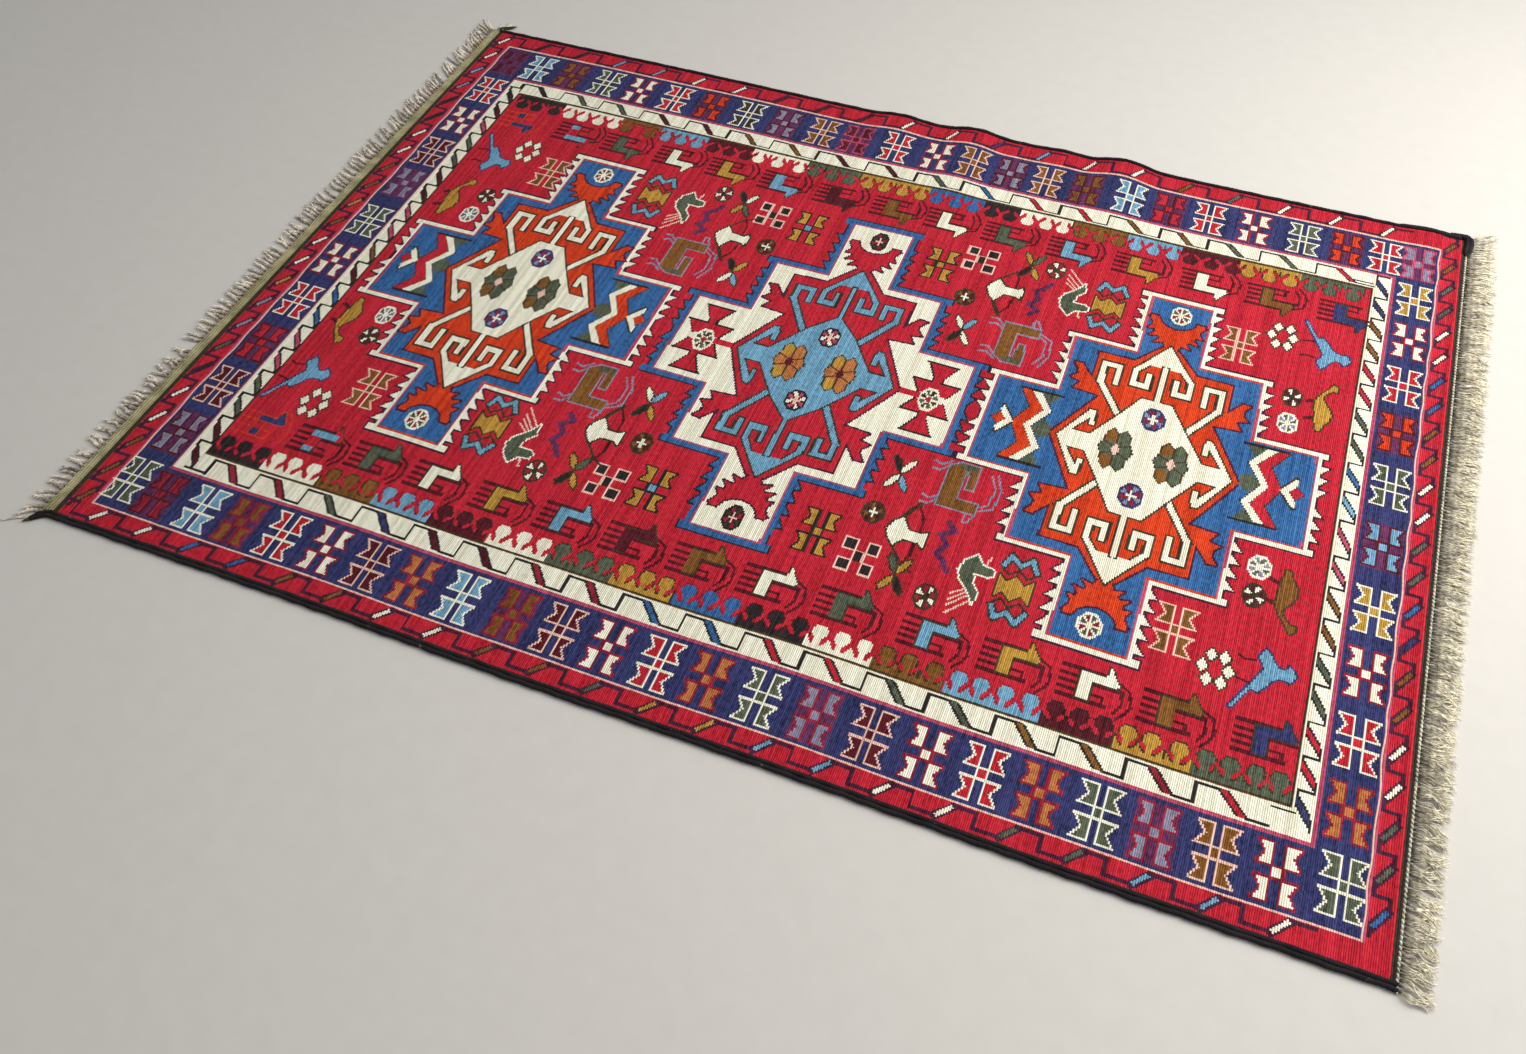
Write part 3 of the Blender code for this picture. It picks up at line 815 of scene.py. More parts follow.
def weave(name):
    """The cloth's mesh: the top from the cells of the chart, then its edges and its underside."""
    cells = woven_cells()
    down_row, along_row = [set() for _ in range(ROWS + 1)], [set() for _ in range(STITCHES + 1)]
    for r0, r1, s0, s1, _ in cells:
        for r in (r0, r1):
            for s in (s0, s1):
                down_row[r].add(s)
                along_row[s].add(r)
    down_row, along_row = [sorted(s) for s in down_row], [sorted(r) for r in along_row]
    points, places, faces, yarns, number_of = [], [], [], [], {}
    loose = random.Random(3)
    beat = [loose.uniform(-UNEVEN_ROW, UNEVEN_ROW) for _ in range(ROWS + 1)]

    def point(r, s):
        if (r, s) not in number_of:
            number_of[r, s] = len(points)
            x, y = LEFT + r * ROW, NEAR + s * STITCH
            if 0 < r < ROWS:
                x += ROW_WAVER * math.sin(y / 61 + x / 410) + beat[r]
            if any(r in (row, row + 1) for row in PALE_LINES):
                x += LINE_WAVER * math.sin(y / 10.4 + math.sin(y / 41)) + FINE_LINE_WAVER * math.sin(y / 23)
            if 0 < r < ROWS and 0 < s < STITCHES:
                y += STITCH_WAVER * math.sin(x / 47 + y / 300) + loose.uniform(-UNEVEN_STITCH, UNEVEN_STITCH)
            points.append(lay(x / 1000, y / 1000, CLOTH_THICKNESS))
            places.append((r * ROW, s * STITCH))
        return number_of[r, s]

    def between(ordered, low, high):
        return ordered[bisect_left(ordered, low) + 1:bisect_left(ordered, high)]

    for r0, r1, s0, s1, yarn in cells:
        left = [point(r0, s) for s in (s0, *between(down_row[r0], s0, s1), s1)]
        right = [point(r1, s) for s in (s0, *between(down_row[r1], s0, s1), s1)]
        bottom = [point(r, s0) for r in between(along_row[s0], r0, r1)]
        top = [point(r, s1) for r in between(along_row[s1], r0, r1)]
        if bottom or top:
            ring = [*left[:1], *bottom, *right, *reversed(top), *reversed(left[1:])]
            corners = (left[0], left[-1], right[0], right[-1])
            middle = len(points)
            points.append(sum((points[n] for n in corners), Vector()) / 4)
            places.append(tuple(np.mean([places[n] for n in corners], axis=0)))
            made = [(middle, a, b) for a, b in zip(ring, ring[1:] + ring[:1])]
        elif len(left) == len(right) == 2:
            made = [(left[0], right[0], right[1], left[1])]
        else:
            made, i, j = [], 0, 0
            while i < len(left) - 1 or j < len(right) - 1:
                go_left = j == len(right) - 1 or (
                    i < len(left) - 1 and points[left[i + 1]].y <= points[right[j + 1]].y)
                if go_left:
                    made.append((left[i], right[j], left[i + 1]))
                    i += 1
                else:
                    made.append((left[i], right[j], right[j + 1]))
                    j += 1
        faces += made
        yarns += [yarn] * len(made)
    add_back(points, faces, yarns, places, point, down_row, along_row)
    mesh = bpy.data.meshes.new(name)
    mesh.from_pydata(points, [], faces)
    mesh.polygons.foreach_set("material_index", yarns)
    mesh.polygons.foreach_set("use_smooth", [True] * len(faces))
    spots = np.array(places)[np.array([loop.vertex_index for loop in mesh.loops])]
    texture = mesh.uv_layers.new(name="OFBake")
    texture.data.foreach_set("uv", (spots / SHEET_WIDTH).astype(np.float32).ravel())
    return mesh


BACK_ROWS, BACK_STITCHES = 11, 26       # in one face of the underside
SIDES_PLACE, SIDES_GAP = 1200, 10       # where the sides' strips lie on the texture map, beyond the cloth


def add_back(points, faces, yarns, places, point, down_row, along_row):
    """The sides of the cloth, and its underside on the floor."""
    back = len(YARN_NAMES)
    rows, stitches = [*range(0, ROWS, BACK_ROWS), ROWS], [*range(0, STITCHES, BACK_STITCHES), STITCHES]
    under = {}
    for r in rows:
        for s in stitches:
            under[r, s] = len(points)
            x, y = LEFT + r * ROW, NEAR + s * STITCH
            points.append(lay(x / 1000, y / 1000, 0.0))
            places.append((r * ROW, s * STITCH))
    for r0, r1 in zip(rows, rows[1:]):
        for s0, s1 in zip(stitches, stitches[1:]):
            faces.append((under[r0, s0], under[r0, s1], under[r1, s1], under[r1, s0]))
            yarns.append(back)
    sides = (
        ([(r, 0) for r in along_row[0]], [(r, 0) for r in rows], False),
        ([(r, STITCHES) for r in along_row[STITCHES]], [(r, STITCHES) for r in rows], True),
        ([(0, s) for s in down_row[0]], [(0, s) for s in stitches], True),
        ([(ROWS, s) for s in down_row[ROWS]], [(ROWS, s) for s in stitches], False),
    )
    for level, (over, below, turned) in enumerate(sides):
        top, low = [], []
        for made, line, height in ((top, over, 3), (low, below, 0)):
            for r, s in line:
                source = points[point(r, s)] if height else points[under[r, s]]
                made.append(len(points))
                points.append(source.copy())
                along = r * ROW if level < 2 else s * STITCH
                places.append((along, SIDES_PLACE + SIDES_GAP * level + height))
        i = j = 0
        while i < len(top) - 1 or j < len(low) - 1:
            reach = [sum(p) for p in (over[min(i + 1, len(top) - 1)], below[min(j + 1, len(low) - 1)])]
            if j == len(low) - 1 or (i < len(top) - 1 and reach[0] <= reach[1]):
                face = (low[j], top[i + 1], top[i])
                i += 1
            else:
                face = (low[j], low[j + 1], top[i])
                j += 1
            faces.append(tuple(reversed(face)) if turned else face)
            yarns.append(back)


class Value:
    """A number that varies over a surface, with the sums that a finish makes of it."""

    def __init__(self, tree, socket):
        self.tree, self.socket = tree, socket

    def worked(self, operation, *others, turned=False):
        node = self.tree.nodes.new("ShaderNodeMath")
        node.operation = operation
        terms = [*others, self] if turned else [self, *others]
        for slot, term in zip(node.inputs, terms):
            if isinstance(term, Value):
                self.tree.links.new(term.socket, slot)
            else:
                slot.default_value = term
        return Value(self.tree, node.outputs[0])

    def __add__(self, other):
        return self.worked("ADD", other)

    def __sub__(self, other):
        return self.worked("SUBTRACT", other)

    def __rsub__(self, other):
        return self.worked("SUBTRACT", other, turned=True)

    def __mul__(self, other):
        return self.worked("MULTIPLY", other)

    def __truediv__(self, other):
        return self.worked("DIVIDE", other)

    def __pow__(self, other):
        return self.worked("POWER", other)

    __radd__, __rmul__ = __add__, __mul__

    def whole(self):
        return self.worked("FLOOR")

    def part(self):
        return self.worked("FRACT")

    def hump(self):
        """Rises from 0 to 1 and back once in each whole step."""
        return (self * math.pi).worked("SINE").worked("ABSOLUTE")

    def held(self, low=0.0, high=1.0):
        return self.worked("MAXIMUM", low).worked("MINIMUM", high)


class Finish:
    """One wool finish: a matt shader, and the nodes that vary it over the surface."""

    def __init__(self, name, fuzz=0.015):
        self.material = bpy.data.materials.new(name)
        self.material.use_nodes = True
        self.tree = self.material.node_tree
        self.shader = self.tree.nodes["Principled BSDF"]
        self.shader.inputs["Specular IOR Level"].default_value = 0.06
        self.shader.inputs["Sheen Weight"].default_value = fuzz
        self.shader.inputs["Sheen Roughness"].default_value = 0.6

    def node(self, kind, settings=(), inputs=()):
        node = self.tree.nodes.new(kind)
        for name, value in dict(settings).items():
            setattr(node, name, value)
        for name, value in dict(inputs).items():
            if isinstance(value, Value):
                self.tree.links.new(value.socket, node.inputs[name])
            else:
                node.inputs[name].default_value = value
        return node

    def along_map(self, name):
        """The two measures of a texture map."""
        map_node = self.node("ShaderNodeUVMap", {"uv_map": name})
        split = self.node("ShaderNodeSeparateXYZ", (), {"Vector": Value(self.tree, map_node.outputs[0])})
        return Value(self.tree, split.outputs[0]), Value(self.tree, split.outputs[1])

    def place(self, x, y, z=0.0):
        joined = self.node("ShaderNodeCombineXYZ", (), {"X": x, "Y": y, "Z": z})
        return Value(self.tree, joined.outputs[0])

    def in_metres(self):
        found = self.node("ShaderNodeTexCoord")
        return Value(self.tree, found.outputs["Object"])

    def noise(self, where, scale, detail=2.0):
        made = self.node("ShaderNodeTexNoise", (), {"Vector": where, "Scale": scale, "Detail": detail})
        return Value(self.tree, made.outputs[0])

    def chance(self, number):
        """A random number from 0 to 1 for each whole number."""
        made = self.node("ShaderNodeTexWhiteNoise", {"noise_dimensions": "1D"}, {"W": number})
        return Value(self.tree, made.outputs[0])

    def mixed(self, dark, light, share):
        made = self.node("ShaderNodeMix", {"data_type": "RGBA"}, {"Factor": share})
        for slot, colour in ((6, dark), (7, light)):
            if isinstance(colour, Value):
                self.tree.links.new(colour.socket, made.inputs[slot])
            else:
                made.inputs[slot].default_value = (*colour, 1.0)
        return Value(self.tree, made.outputs[2])

    def finished(self, colour, roughness, relief, depth, strength=1.0):
        raised = self.node("ShaderNodeBump", (), {"Height": relief, "Distance": depth, "Strength": strength})
        self.tree.links.new(raised.outputs[0], self.shader.inputs["Normal"])
        self.tree.links.new(colour.socket, self.shader.inputs["Base Color"])
        self.tree.links.new(roughness.socket, self.shader.inputs["Roughness"])
        return self.material


WRAP_PITCH = 3.1        # millimetres from one wrap of the weft to the next


def soumak(name, colour, lots):
    """Wrapped weft of one dye: rounded rows, each made of slanted wraps, and fine fibres over them. The
    hollows between the rows and between the wraps are painted darker, as shade.
    """
    wool = Finish("soumak_" + name)
    u, v = wool.along_map("OFBake")
    across, along = u * SHEET_WIDTH, v * SHEET_WIDTH
    row = across / ROW
    number = row.whole()
    drift = wool.noise(wool.place(across * 0.02, along * 0.02), 1.0) * 1.2
    wrap = (along / WRAP_PITCH + row.part() * 0.8 + number * 0.37 + drift).hump()
    body = row.hump() ** 0.6
    fibres = wool.noise(wool.place(across * 1.6, along * 0.7), 2.2, 3.0)
    relief = body * (wrap * 0.35 + 0.65) + fibres * 0.18
    lot = wool.noise(wool.place(across * 0.22, along * 0.012, len(name)), 1.0, 3.0)
    patch = wool.noise(wool.place(across * 0.02, along * 0.02, 3.0), 1.0, 2.0)
    mottle = wool.noise(wool.place(across * 0.33, along * 0.16, 9.0), 1.0, 2.0)
    # shade: painted shade in the hollows between rows and between wraps, with the dye's own changes from
    # fibre, row, lot and patch
    shade = (body * (0.44 + wrap * 0.22) + 0.08 + (fibres - 0.5) * 0.7 + (wool.chance(number) - 0.5) * 0.34
             + (mottle - 0.5) * (0.45 + 4.0 * lots)
             + (lot - 0.5) * 3.4 * lots + (patch - 0.5) * 1.8 * lots).held()
    # dark is the dyed colour as painted in shade, light the same colour as painted in light
    dark = tuple(c * (0.25 + 0.28 * c) for c in colour)
    light = tuple(min(1.0, c * 1.36 + 0.012) for c in colour)
    return wool.finished(wool.mixed(dark, light, shade), 0.95 - fibres * 0.15, relief, 0.0011, 0.7)


def hem_wool(name, colour):
    """The underside and the sides of the cloth: fibres and faded patches, and no pattern."""
    wool = Finish(name)
    where = wool.in_metres()
    fibres = wool.noise(where, 900.0, 3.0)
    patch = wool.noise(where, 30.0)
    shade = (fibres * 0.7 + patch * 0.5 - 0.1).held()
    dark = tuple(c * 0.4 for c in colour)
    return wool.finished(wool.mixed(dark, colour, shade), 0.95 - fibres * 0.1, fibres, 0.0006)


def add_piece(name, mesh, materials, stands_for):
    for material in materials:
        mesh.materials.append(material)
    made = bpy.data.objects.new(name, mesh)
    bpy.context.scene.collection.objects.link(made)
    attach(made, "root")
    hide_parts(stands_for)
    return made


dyed_wools = [soumak(name, colour, lots) for name, (colour, lots) in YARNS.items()]
cloth = add_piece(
    "kilim_cloth", weave("cloth_woven"), [*dyed_wools, hem_wool("cloth_back", (0.3, 0.05, 0.06))], "cloth")

# The selvedges
# Thick cords laid along the long edges and overcast in near-black wool, two at the near edge and one at
# the far edge. At three corners the overcasting runs on past the cloth, as tails and a bound corner.
CORD_RADIUS, CORD_SPACING, SEAM = 0.0029, 0.0052, 0.0003
CORD_HEIGHT = CORD_RADIUS * 1.18        # so that its thickest turns clear the floor
WRAP = 0.0024                           # from one turn of the wool to the next
ON_TURN, BETWEEN_TURNS = 1.03, 0.83     # shares of the cord's radius
TAPER_STEPS = 9                         # half turns to a full radius from a thin end
POINT_SPACING = 0.0093                  # along the way of a cord
NEAR_TAILS = ((-0.820, -0.588), (-0.823, -0.5965))
PAST_CORNER = 0.0030


class Yarns:
    """Round yarns, made ring by ring and gathered into one mesh. Each stretch of a yarn has its own cell
    of the texture map: across the cell is along the yarn, and up the cell is round it."""

    def __init__(self, columns, rows):
        self.columns, self.rows, self.cell = columns, rows, 0
        self.points, self.faces, self.spots, self.wools = [], [], [], []

    def spot(self, cell, along, around):
        column, row = cell % self.columns, cell // self.columns
        return (column + 0.02 + 0.96 * along) / self.columns, (row + 0.03 + 0.94 * around) / self.rows

    def face(self, corners, spots, wool):
        self.faces.append(corners)
        self.spots += spots
        self.wools.append(wool)

    def skin(self, rings, wool, stretch):
        """Covers rings of points, in cells of so many rings, and closes both ends."""
        sides = len(rings[0])
        for number, (ring, following) in enumerate(zip(rings, rings[1:])):
            cell = self.cell + number // stretch
            start = (number % stretch) / stretch
            end = start + 1 / stretch
            for i in range(sides):
                j = (i + 1) % sides
                low, high = i / sides, (i + 1) / sides
                spots = [self.spot(cell, *at) for at in ((start, low), (end, low), (end, high), (start, high))]
                self.face((ring[i], following[i], following[j], ring[j]), spots, wool)
        self.face(tuple(rings[0]), [self.spot(self.cell, 0, i / sides) for i in range(sides)], wool)
        self.face(tuple(reversed(rings[-1])), [self.spot(cell, end, i / sides) for i in range(sides)], wool)
        self.cell = cell + 1

    def yarn(self, path, radii, sides=6, wool=0, stretch=None, slant=0.0):
        """A yarn along path. A slanted one has its rings turned a little, as wool is wound on a cord."""
        rings = []
        for number, (place, radius) in enumerate(zip(path, radii)):
            along = (path[min(number + 1, len(path) - 1)] - path[max(number - 1, 0)]).normalized()
            side = along.cross(Vector((0, 0, 1))).normalized()
            up = side.cross(along)
            ring = []
            for step in range(sides):
                angle = 2 * math.pi * step / sides - math.pi / 2
                ring.append(len(self.points))
                self.points.append(place + side * (radius * math.cos(angle)) + up * (radius * math.sin(angle))
                                   + along * (slant * (step / sides - 0.5)))
            rings.append(ring)
        self.skin(rings, wool, stretch or len(path) - 1)

    def mesh(self, name):
        made = bpy.data.meshes.new(name)
        made.from_pydata(self.points, [], self.faces)
        made.polygons.foreach_set("use_smooth", [True] * len(self.faces))
        made.polygons.foreach_set("material_index", self.wools)
        made.uv_layers.new(name="OFBake").data.foreach_set("uv", np.array(self.spots, np.float32).ravel())
        return made


SELVEDGE_MAP, SELVEDGE_STRETCH = (8, 6), 64


def wound_cord(yarns, way, radius, loose, wool=0, ends=(1.0, 1.0)):
    """A cord along a way of points, with a ridge for each turn of the wool that is wound on it."""
    lengths = np.concatenate([[0.0], np.cumsum([(b - a).length for a, b in zip(way, way[1:])])])
    count = max(4, round(lengths[-1] / (WRAP / 2)))
    at = np.linspace(0, lengths[-1], count + 1)
    path = [Vector(p) for p in zip(*(np.interp(at, lengths, [p[axis] for p in way]) for axis in range(3)))]
    radii = []
    for number in range(count + 1):
        taper = min(1.0, ends[0] + number / TAPER_STEPS, ends[1] + (count - number) / TAPER_STEPS)
        lump = 1 + 0.06 * math.sin(number / 4.7 + radius * 9000) * math.sin(number / 31)
        ridge = ON_TURN if number % 2 else BETWEEN_TURNS
        radii.append(radius * taper * lump * ridge * loose.uniform(0.93, 1.07))
    yarns.yarn(path, radii, 12, wool, SELVEDGE_STRETCH, slant=0.0022)


def edge_way(edge_y, side, distance, start, end):
    """The way of a cord along a long edge, so far out from the cloth. It wavers a little."""
    way = []
    for x in np.linspace(start, end, round((end - start) / POINT_SPACING) + 1):
        place = lay(float(x), edge_y, CORD_HEIGHT)
        waver = 0.0003 * math.sin(x * 71) + 0.0004 * math.sin(x * 197 + 4000 * distance)
        place.y += side * (SEAM + distance + waver)
        way.append(place)
    return way


def overcast(name, colour, highlight):
    """Wool wound over a cord: each turn has a painted highlight on its crown and painted shade between its
    strands, the wool has worn patches, and a few pale fibres are caught in it.
    """
    wool = Finish(name, 0.03)
    u, v = wool.along_map("OFBake")
    columns, rows = SELVEDGE_MAP
    along, around = (u * columns).part(), (v * rows).part()
    turn = (along * SELVEDGE_STRETCH / 2).hump()
    strands = (along * SELVEDGE_STRETCH * 1.5 + around * 3).hump()
    where = wool.in_metres()
    fibres = wool.noise(where, 900.0, 3.0)
    worn = wool.noise(where, 35.0, 3.0)
    flecks = ((wool.noise(where, 130.0, 4.0) - 0.67) * 9).held()
    # shade: painted highlight on each turn's crown and painted shade between the strands, with the wool's own
    # fibres and worn patches
    shade = (turn * 0.35 + strands * 0.2 + (fibres - 0.5) * 0.9 + (worn - 0.5) * 0.9 + 0.1).held()
    dyed_and_lit = wool.mixed(colour, highlight, shade)
    return wool.finished(wool.mixed(dyed_and_lit, (0.30, 0.25, 0.22), flecks * 0.6), 0.95 - fibres * 0.2,
                         strands * 0.4 + fibres * 0.6, 0.0005)


def add_selvedge(name, yarns, stands_for):
    made = add_piece(name, yarns.mesh(name), [
        # each wool's second colour is its painted highlight
        overcast(name + "_black", (0.005, 0.004, 0.005), (0.034, 0.028, 0.030)),
        overcast(name + "_olive", (0.014, 0.016, 0.006), (0.075, 0.080, 0.035))], stands_for)
    return made


loose = random.Random(5)
near_yarns = Yarns(*SELVEDGE_MAP)
for cord, (tail_x, tail_y) in enumerate(NEAR_TAILS):
    distance = CORD_RADIUS + cord * CORD_SPACING
    way = edge_way(NEAR_EDGE, -1, distance, LEFT_END, RIGHT_END + PAST_CORNER)
    first = way[0]
    tail = [Vector((first.x + (tail_x - first.x) * s, first.y + (tail_y - first.y) * s ** 1.5, first.z))
            for s in (1.0, 0.75, 0.5, 0.25)]
    wound_cord(near_yarns, tail[1:] + way, CORD_RADIUS, loose, 0, (0.8, 0.7))
    wound_cord(near_yarns, tail[:2], CORD_RADIUS * 0.85, loose, 1, (0.3, 0.9))
selvedge_near = add_selvedge("selvedge_near_overcast", near_yarns, "selvedge_near")

far_yarns = Yarns(*SELVEDGE_MAP)
far_way = edge_way(FAR_EDGE, 1, CORD_RADIUS, LEFT_END, 0.788)
wound_cord(far_yarns, far_way, CORD_RADIUS * 0.97, loose, 0, (0.7, 0.9))
second_way = edge_way(FAR_EDGE, 1, CORD_RADIUS * 1.7, 0.700, 0.786)
wound_cord(far_yarns, second_way, CORD_RADIUS * 0.9, loose, 0, (0.3, 0.9))
far_tail = (
    (-0.806, 0.5795, 0.003), (-0.797, 0.5865, 0.0034), (-0.786, 0.592, 0.003), (-0.778, 0.599, 0.0026),
)
wound_cord(far_yarns, [Vector(place) for place in far_tail], 0.0025, loose, 1, (0.6, 0.25))
CORNER_HEIGHT, CORNER_RADIUS = 0.0042, 0.0035
for shift in (0.0, CORD_SPACING):
    corner = [(0.778 - shift, 0.5815), (0.793 + shift, 0.5825 + 0.4 * shift), (0.7995 + shift, 0.578),
              (0.8 + shift, 0.566), (0.7985 + shift, 0.551), (0.798 + 0.6 * shift, 0.541)]
    corner_way = [Vector((x, y, CORNER_HEIGHT)) for x, y in corner]
    wound_cord(far_yarns, corner_way, CORNER_RADIUS, loose, 0, (0.6, 0.35))
selvedge_far = add_selvedge("selvedge_far_overcast", far_yarns, "selvedge_far")

# The left fringe
# The weaving ends in a ribbed undyed band. Beyond it the warp ends are plied in pairs into short plump
# yarns, which lean towards the far side, and their tips and loose hairs have gone fluffy.
FRINGE_NEAR, FRINGE_FAR = -0.5793, 0.5806
LEFT_BAND, LEFT_BAND_RIBS = 0.0160, 4
LEFT_LIE = (
    # y, length of the yarns there, how far their tips lean along Y
    (-0.5750, 0.0250, -0.0290), (-0.5600, 0.0250, -0.0080), (-0.5300, 0.0250, 0.0010),
    (-0.3000, 0.0245, 0.0030), (0.0000, 0.0290, 0.0080), (0.2000, 0.0300, 0.0160),
    (0.5300, 0.0310, 0.0220), (0.5765, 0.0300, 0.0230),
)
LEFT_GAPS = (0.415, 0.135, 0.090, -0.055, -0.265)      # where a yarn is missing
LEFT_MAP, LEFT_BAND_STRETCH = (16, 50), 26
BAND_NEAR, BAND_FAR, BAND_INNER = -0.5695, 0.5800, -0.7993


def lie(table, y):
    """Length and lean of the yarns at a place along an end."""
    columns = list(zip(*table))
    return [float(np.interp(y, columns[0], column)) for column in columns[1:]]


def ribbed_band(yarns, loose):
    """The strip of plain weave: ribs that run along it, and an outer edge that the yarns pull uneven."""
    rings, count = [], 760
    width = LEFT_BAND
    for number in range(count + 1):
        y = BAND_NEAR + (BAND_FAR - BAND_NEAR) * number / count
        width += (LEFT_BAND - 0.0016 - width) * 0.08 + loose.uniform(-0.0005, 0.0005)
        inner, outer = BAND_INNER, BAND_INNER - width
        ring = [(outer, 0.0), (inner, 0.0)]
        for step in range(13):
            share = step / 12
            rib = abs(math.sin(math.pi * LEFT_BAND_RIBS * (0.04 + 0.92 * share)))
            height = 0.0014 + 0.0009 * rib + 0.0002 * ((number + step // 3) % 2)
            ring.append((inner + (outer - inner) * share, height + loose.uniform(-0.0001, 0.0001)))
        made = []
        for x, height in ring:
            made.append(len(yarns.points))
            yarns.points.append(lay(x, y, height))
        rings.append(made)
    yarns.skin(rings, 1, LEFT_BAND_STRETCH)


def plied_yarn(yarns, root, tip, loose, plump=1.0, turns=2.4):
    """Two strands twisted round each other, which part again at the tip."""
    bend = loose.uniform(-0.0034, 0.0034)
    swing, rise = loose.uniform(0, 6.3), loose.uniform(0.0006, 0.0026)
    for strand in (0, 1):
        path, radii = [], []
        for step in range(13):
            share = step / 12
            middle = root.lerp(tip, share)
            middle.y = root.y + (tip.y - root.y) * share ** 1.35
            bowed = bend * math.sin(math.pi * share) + 0.0007 * math.sin(9 * share + swing)
            middle += Vector((0.0, 1.0, 0.0)) * bowed
            angle = 2 * math.pi * turns * share + math.pi * strand + swing
            apart = 0.00085 * plump * (1 + 5.2 * max(share - 0.75, 0.0))
            middle.y += apart * math.cos(angle)
            middle.z = 0.0014 + rise * math.sin(math.pi * min(1, share * 1.15)) + apart * math.sin(angle)
            radius = plump * (0.00118 - 0.0007 * share ** 3)
            middle.z = max(middle.z, radius * 1.12)
            path.append(middle)
            radii.append(radius * (0.9 + 0.2 * (step % 2)))
        yarns.yarn(path, radii, 6, 0)


def loose_hair(yarns, root, tip, loose, radius, steps, curl, height, sway=(0.0, 1.0, 0.0)):
    """One fine end, which waves as it goes and lies on the others. Its bunch sways as one."""
    waves, start, rise = loose.uniform(0.8, 2.2), loose.uniform(0, 6.3), loose.uniform(0.25, 1.0)
    path = []
    for step in range(steps + 1):
        share = step / steps
        middle = root.lerp(tip, share)
        middle.y = root.y + (tip.y - root.y) * share ** 1.4
        swing = curl * math.sin(2 * math.pi * waves * share + start) * min(1, 3 * share)
        middle.y += swing + sway[0] * math.sin(2 * math.pi * sway[1] * share + sway[2]) * min(1, 2 * share)
        middle.x += 0.5 * curl * math.cos(2 * math.pi * waves * share + start) * min(1, 3 * share)
        middle.z = 0.0009 + height * rise * math.sin(math.pi * (0.15 + 0.75 * share))
        path.append(middle)
    radii = [radius * (1.0 if step < steps else 0.45) for step in range(steps + 1)]
    yarns.yarn(path, radii, 4, 0)


def warp_wool(name, size, turns, root, shadow, light):
    """Undyed warp, each end a little different, painted with shade: darker and browner at the root, darker in
    the hollows of the twist and in patches between the clumps, and pale at the tip.
    """
    wool = Finish(name, 0.06)
    u, v = wool.along_map("OFBake")
    along, around = (u * size[0]).part(), (v * size[1]).part()
    own = wool.chance((u * size[0]).whole() + (v * size[1]).whole() * size[0])
    twist = (along * turns + around * 2).hump()
    where = wool.in_metres()
    fibres = wool.noise(where, 1100.0, 3.0)
    clump_shadow = wool.noise(where, 70.0, 3.0)
    # painted shade: darker towards the root, in the twist's hollows and between clumps; own and fibres are the
    # wool's own tone
    shade = (along * 0.45 + own * 0.5 + twist * 0.3 + (fibres - 0.5) * 0.6
             + (clump_shadow - 0.5) * 1.8 + 0.03).held()
    # how far the painted shade at the root reaches, further where a clump is in shade
    root_shadow = ((0.30 - along) * 3.4 * (0.35 + clump_shadow)).held()
    pale = wool.mixed(shadow, light, shade)
    return wool.finished(wool.mixed(pale, root, root_shadow), 0.95 - fibres * 0.15,
                         twist * 0.7 + fibres * 0.3, 0.0004)


def band_wool(name):
    """Undyed wool of the end band, a little green, with the warps showing as fine cross lines and the furrows
    between its ribs painted darker, as shade.
    """
    wool = Finish(name, 0.03)
    u, v = wool.along_map("OFBake")
    along, around = (u * LEFT_MAP[0]).part(), (v * LEFT_MAP[1]).part()
    rib = ((around * 15 - 2) / 12 * LEFT_BAND_RIBS).hump()
    stitch = (along * LEFT_BAND_STRETCH / 2 + rib * 0.2).hump()
    where = wool.in_metres()
    fibres = wool.noise(where, 900.0, 3.0)
    patch = wool.noise(where, 45.0, 3.0)
    # rib: painted shade in the furrows between the ribs
    shade = (rib * 0.45 + stitch * 0.3 + (fibres - 0.5) * 1.2 + (patch - 0.5) * 1.6 + 0.1).held()
    return wool.finished(wool.mixed((0.10, 0.08, 0.03), (0.46, 0.42, 0.23), shade), 0.95 - fibres * 0.15,
                         stitch * rib + fibres * 0.4, 0.0006)


loose = random.Random(17)
left_yarns = Yarns(*LEFT_MAP)
ribbed_band(left_yarns, loose)
root_y = FRINGE_NEAR + 0.006
while root_y < FRINGE_FAR - 0.002:
    length, lean = lie(LEFT_LIE, root_y)
    if all(abs(root_y - gap) > 0.0042 for gap in LEFT_GAPS):
        root_x = -0.8125 + loose.uniform(-0.001, 0.001)
        root = Vector((root_x, root_y + loose.uniform(-0.0012, 0.0012), 0.0014))
        reach = length * loose.uniform(0.80, 1.06)
        tip_y = root.y + lean * loose.uniform(0.7, 1.15) + loose.uniform(-0.007, 0.007)
        tip = Vector((-0.8153 - reach, tip_y, 0.001))
        plied_yarn(left_yarns, root, tip, loose, loose.uniform(1.2, 1.7), loose.uniform(1.8, 3.2))
        for _ in range(2):
            away = Vector((loose.uniform(-0.002, 0.004), loose.uniform(-0.005, 0.006), 0.0))
            beside = Vector((0, loose.uniform(-0.002, 0.002), 0))
            loose_hair(left_yarns, root + beside, tip + away, loose, 0.00034, 7, 0.0014, 0.0042)
    root_y += loose.uniform(0.0062, 0.0100)
CORNER_YARNS = (
    # root, tip, plumpness and turns, first at the far corner, and last a long yarn at the near corner
    ((-0.808, 0.577), (-0.838, 0.600), 1.0, 2.5), ((-0.803, 0.579), (-0.806, 0.604), 1.0, 2.5),
    ((-0.799, 0.581), (-0.791, 0.603), 1.0, 2.5), ((-0.813, 0.572), (-0.843, 0.597), 1.0, 2.5),
    ((-0.801, 0.580), (-0.799, 0.606), 1.0, 2.5), ((-0.815, -0.588), (-0.859, -0.609), 0.7, 3.5),
)
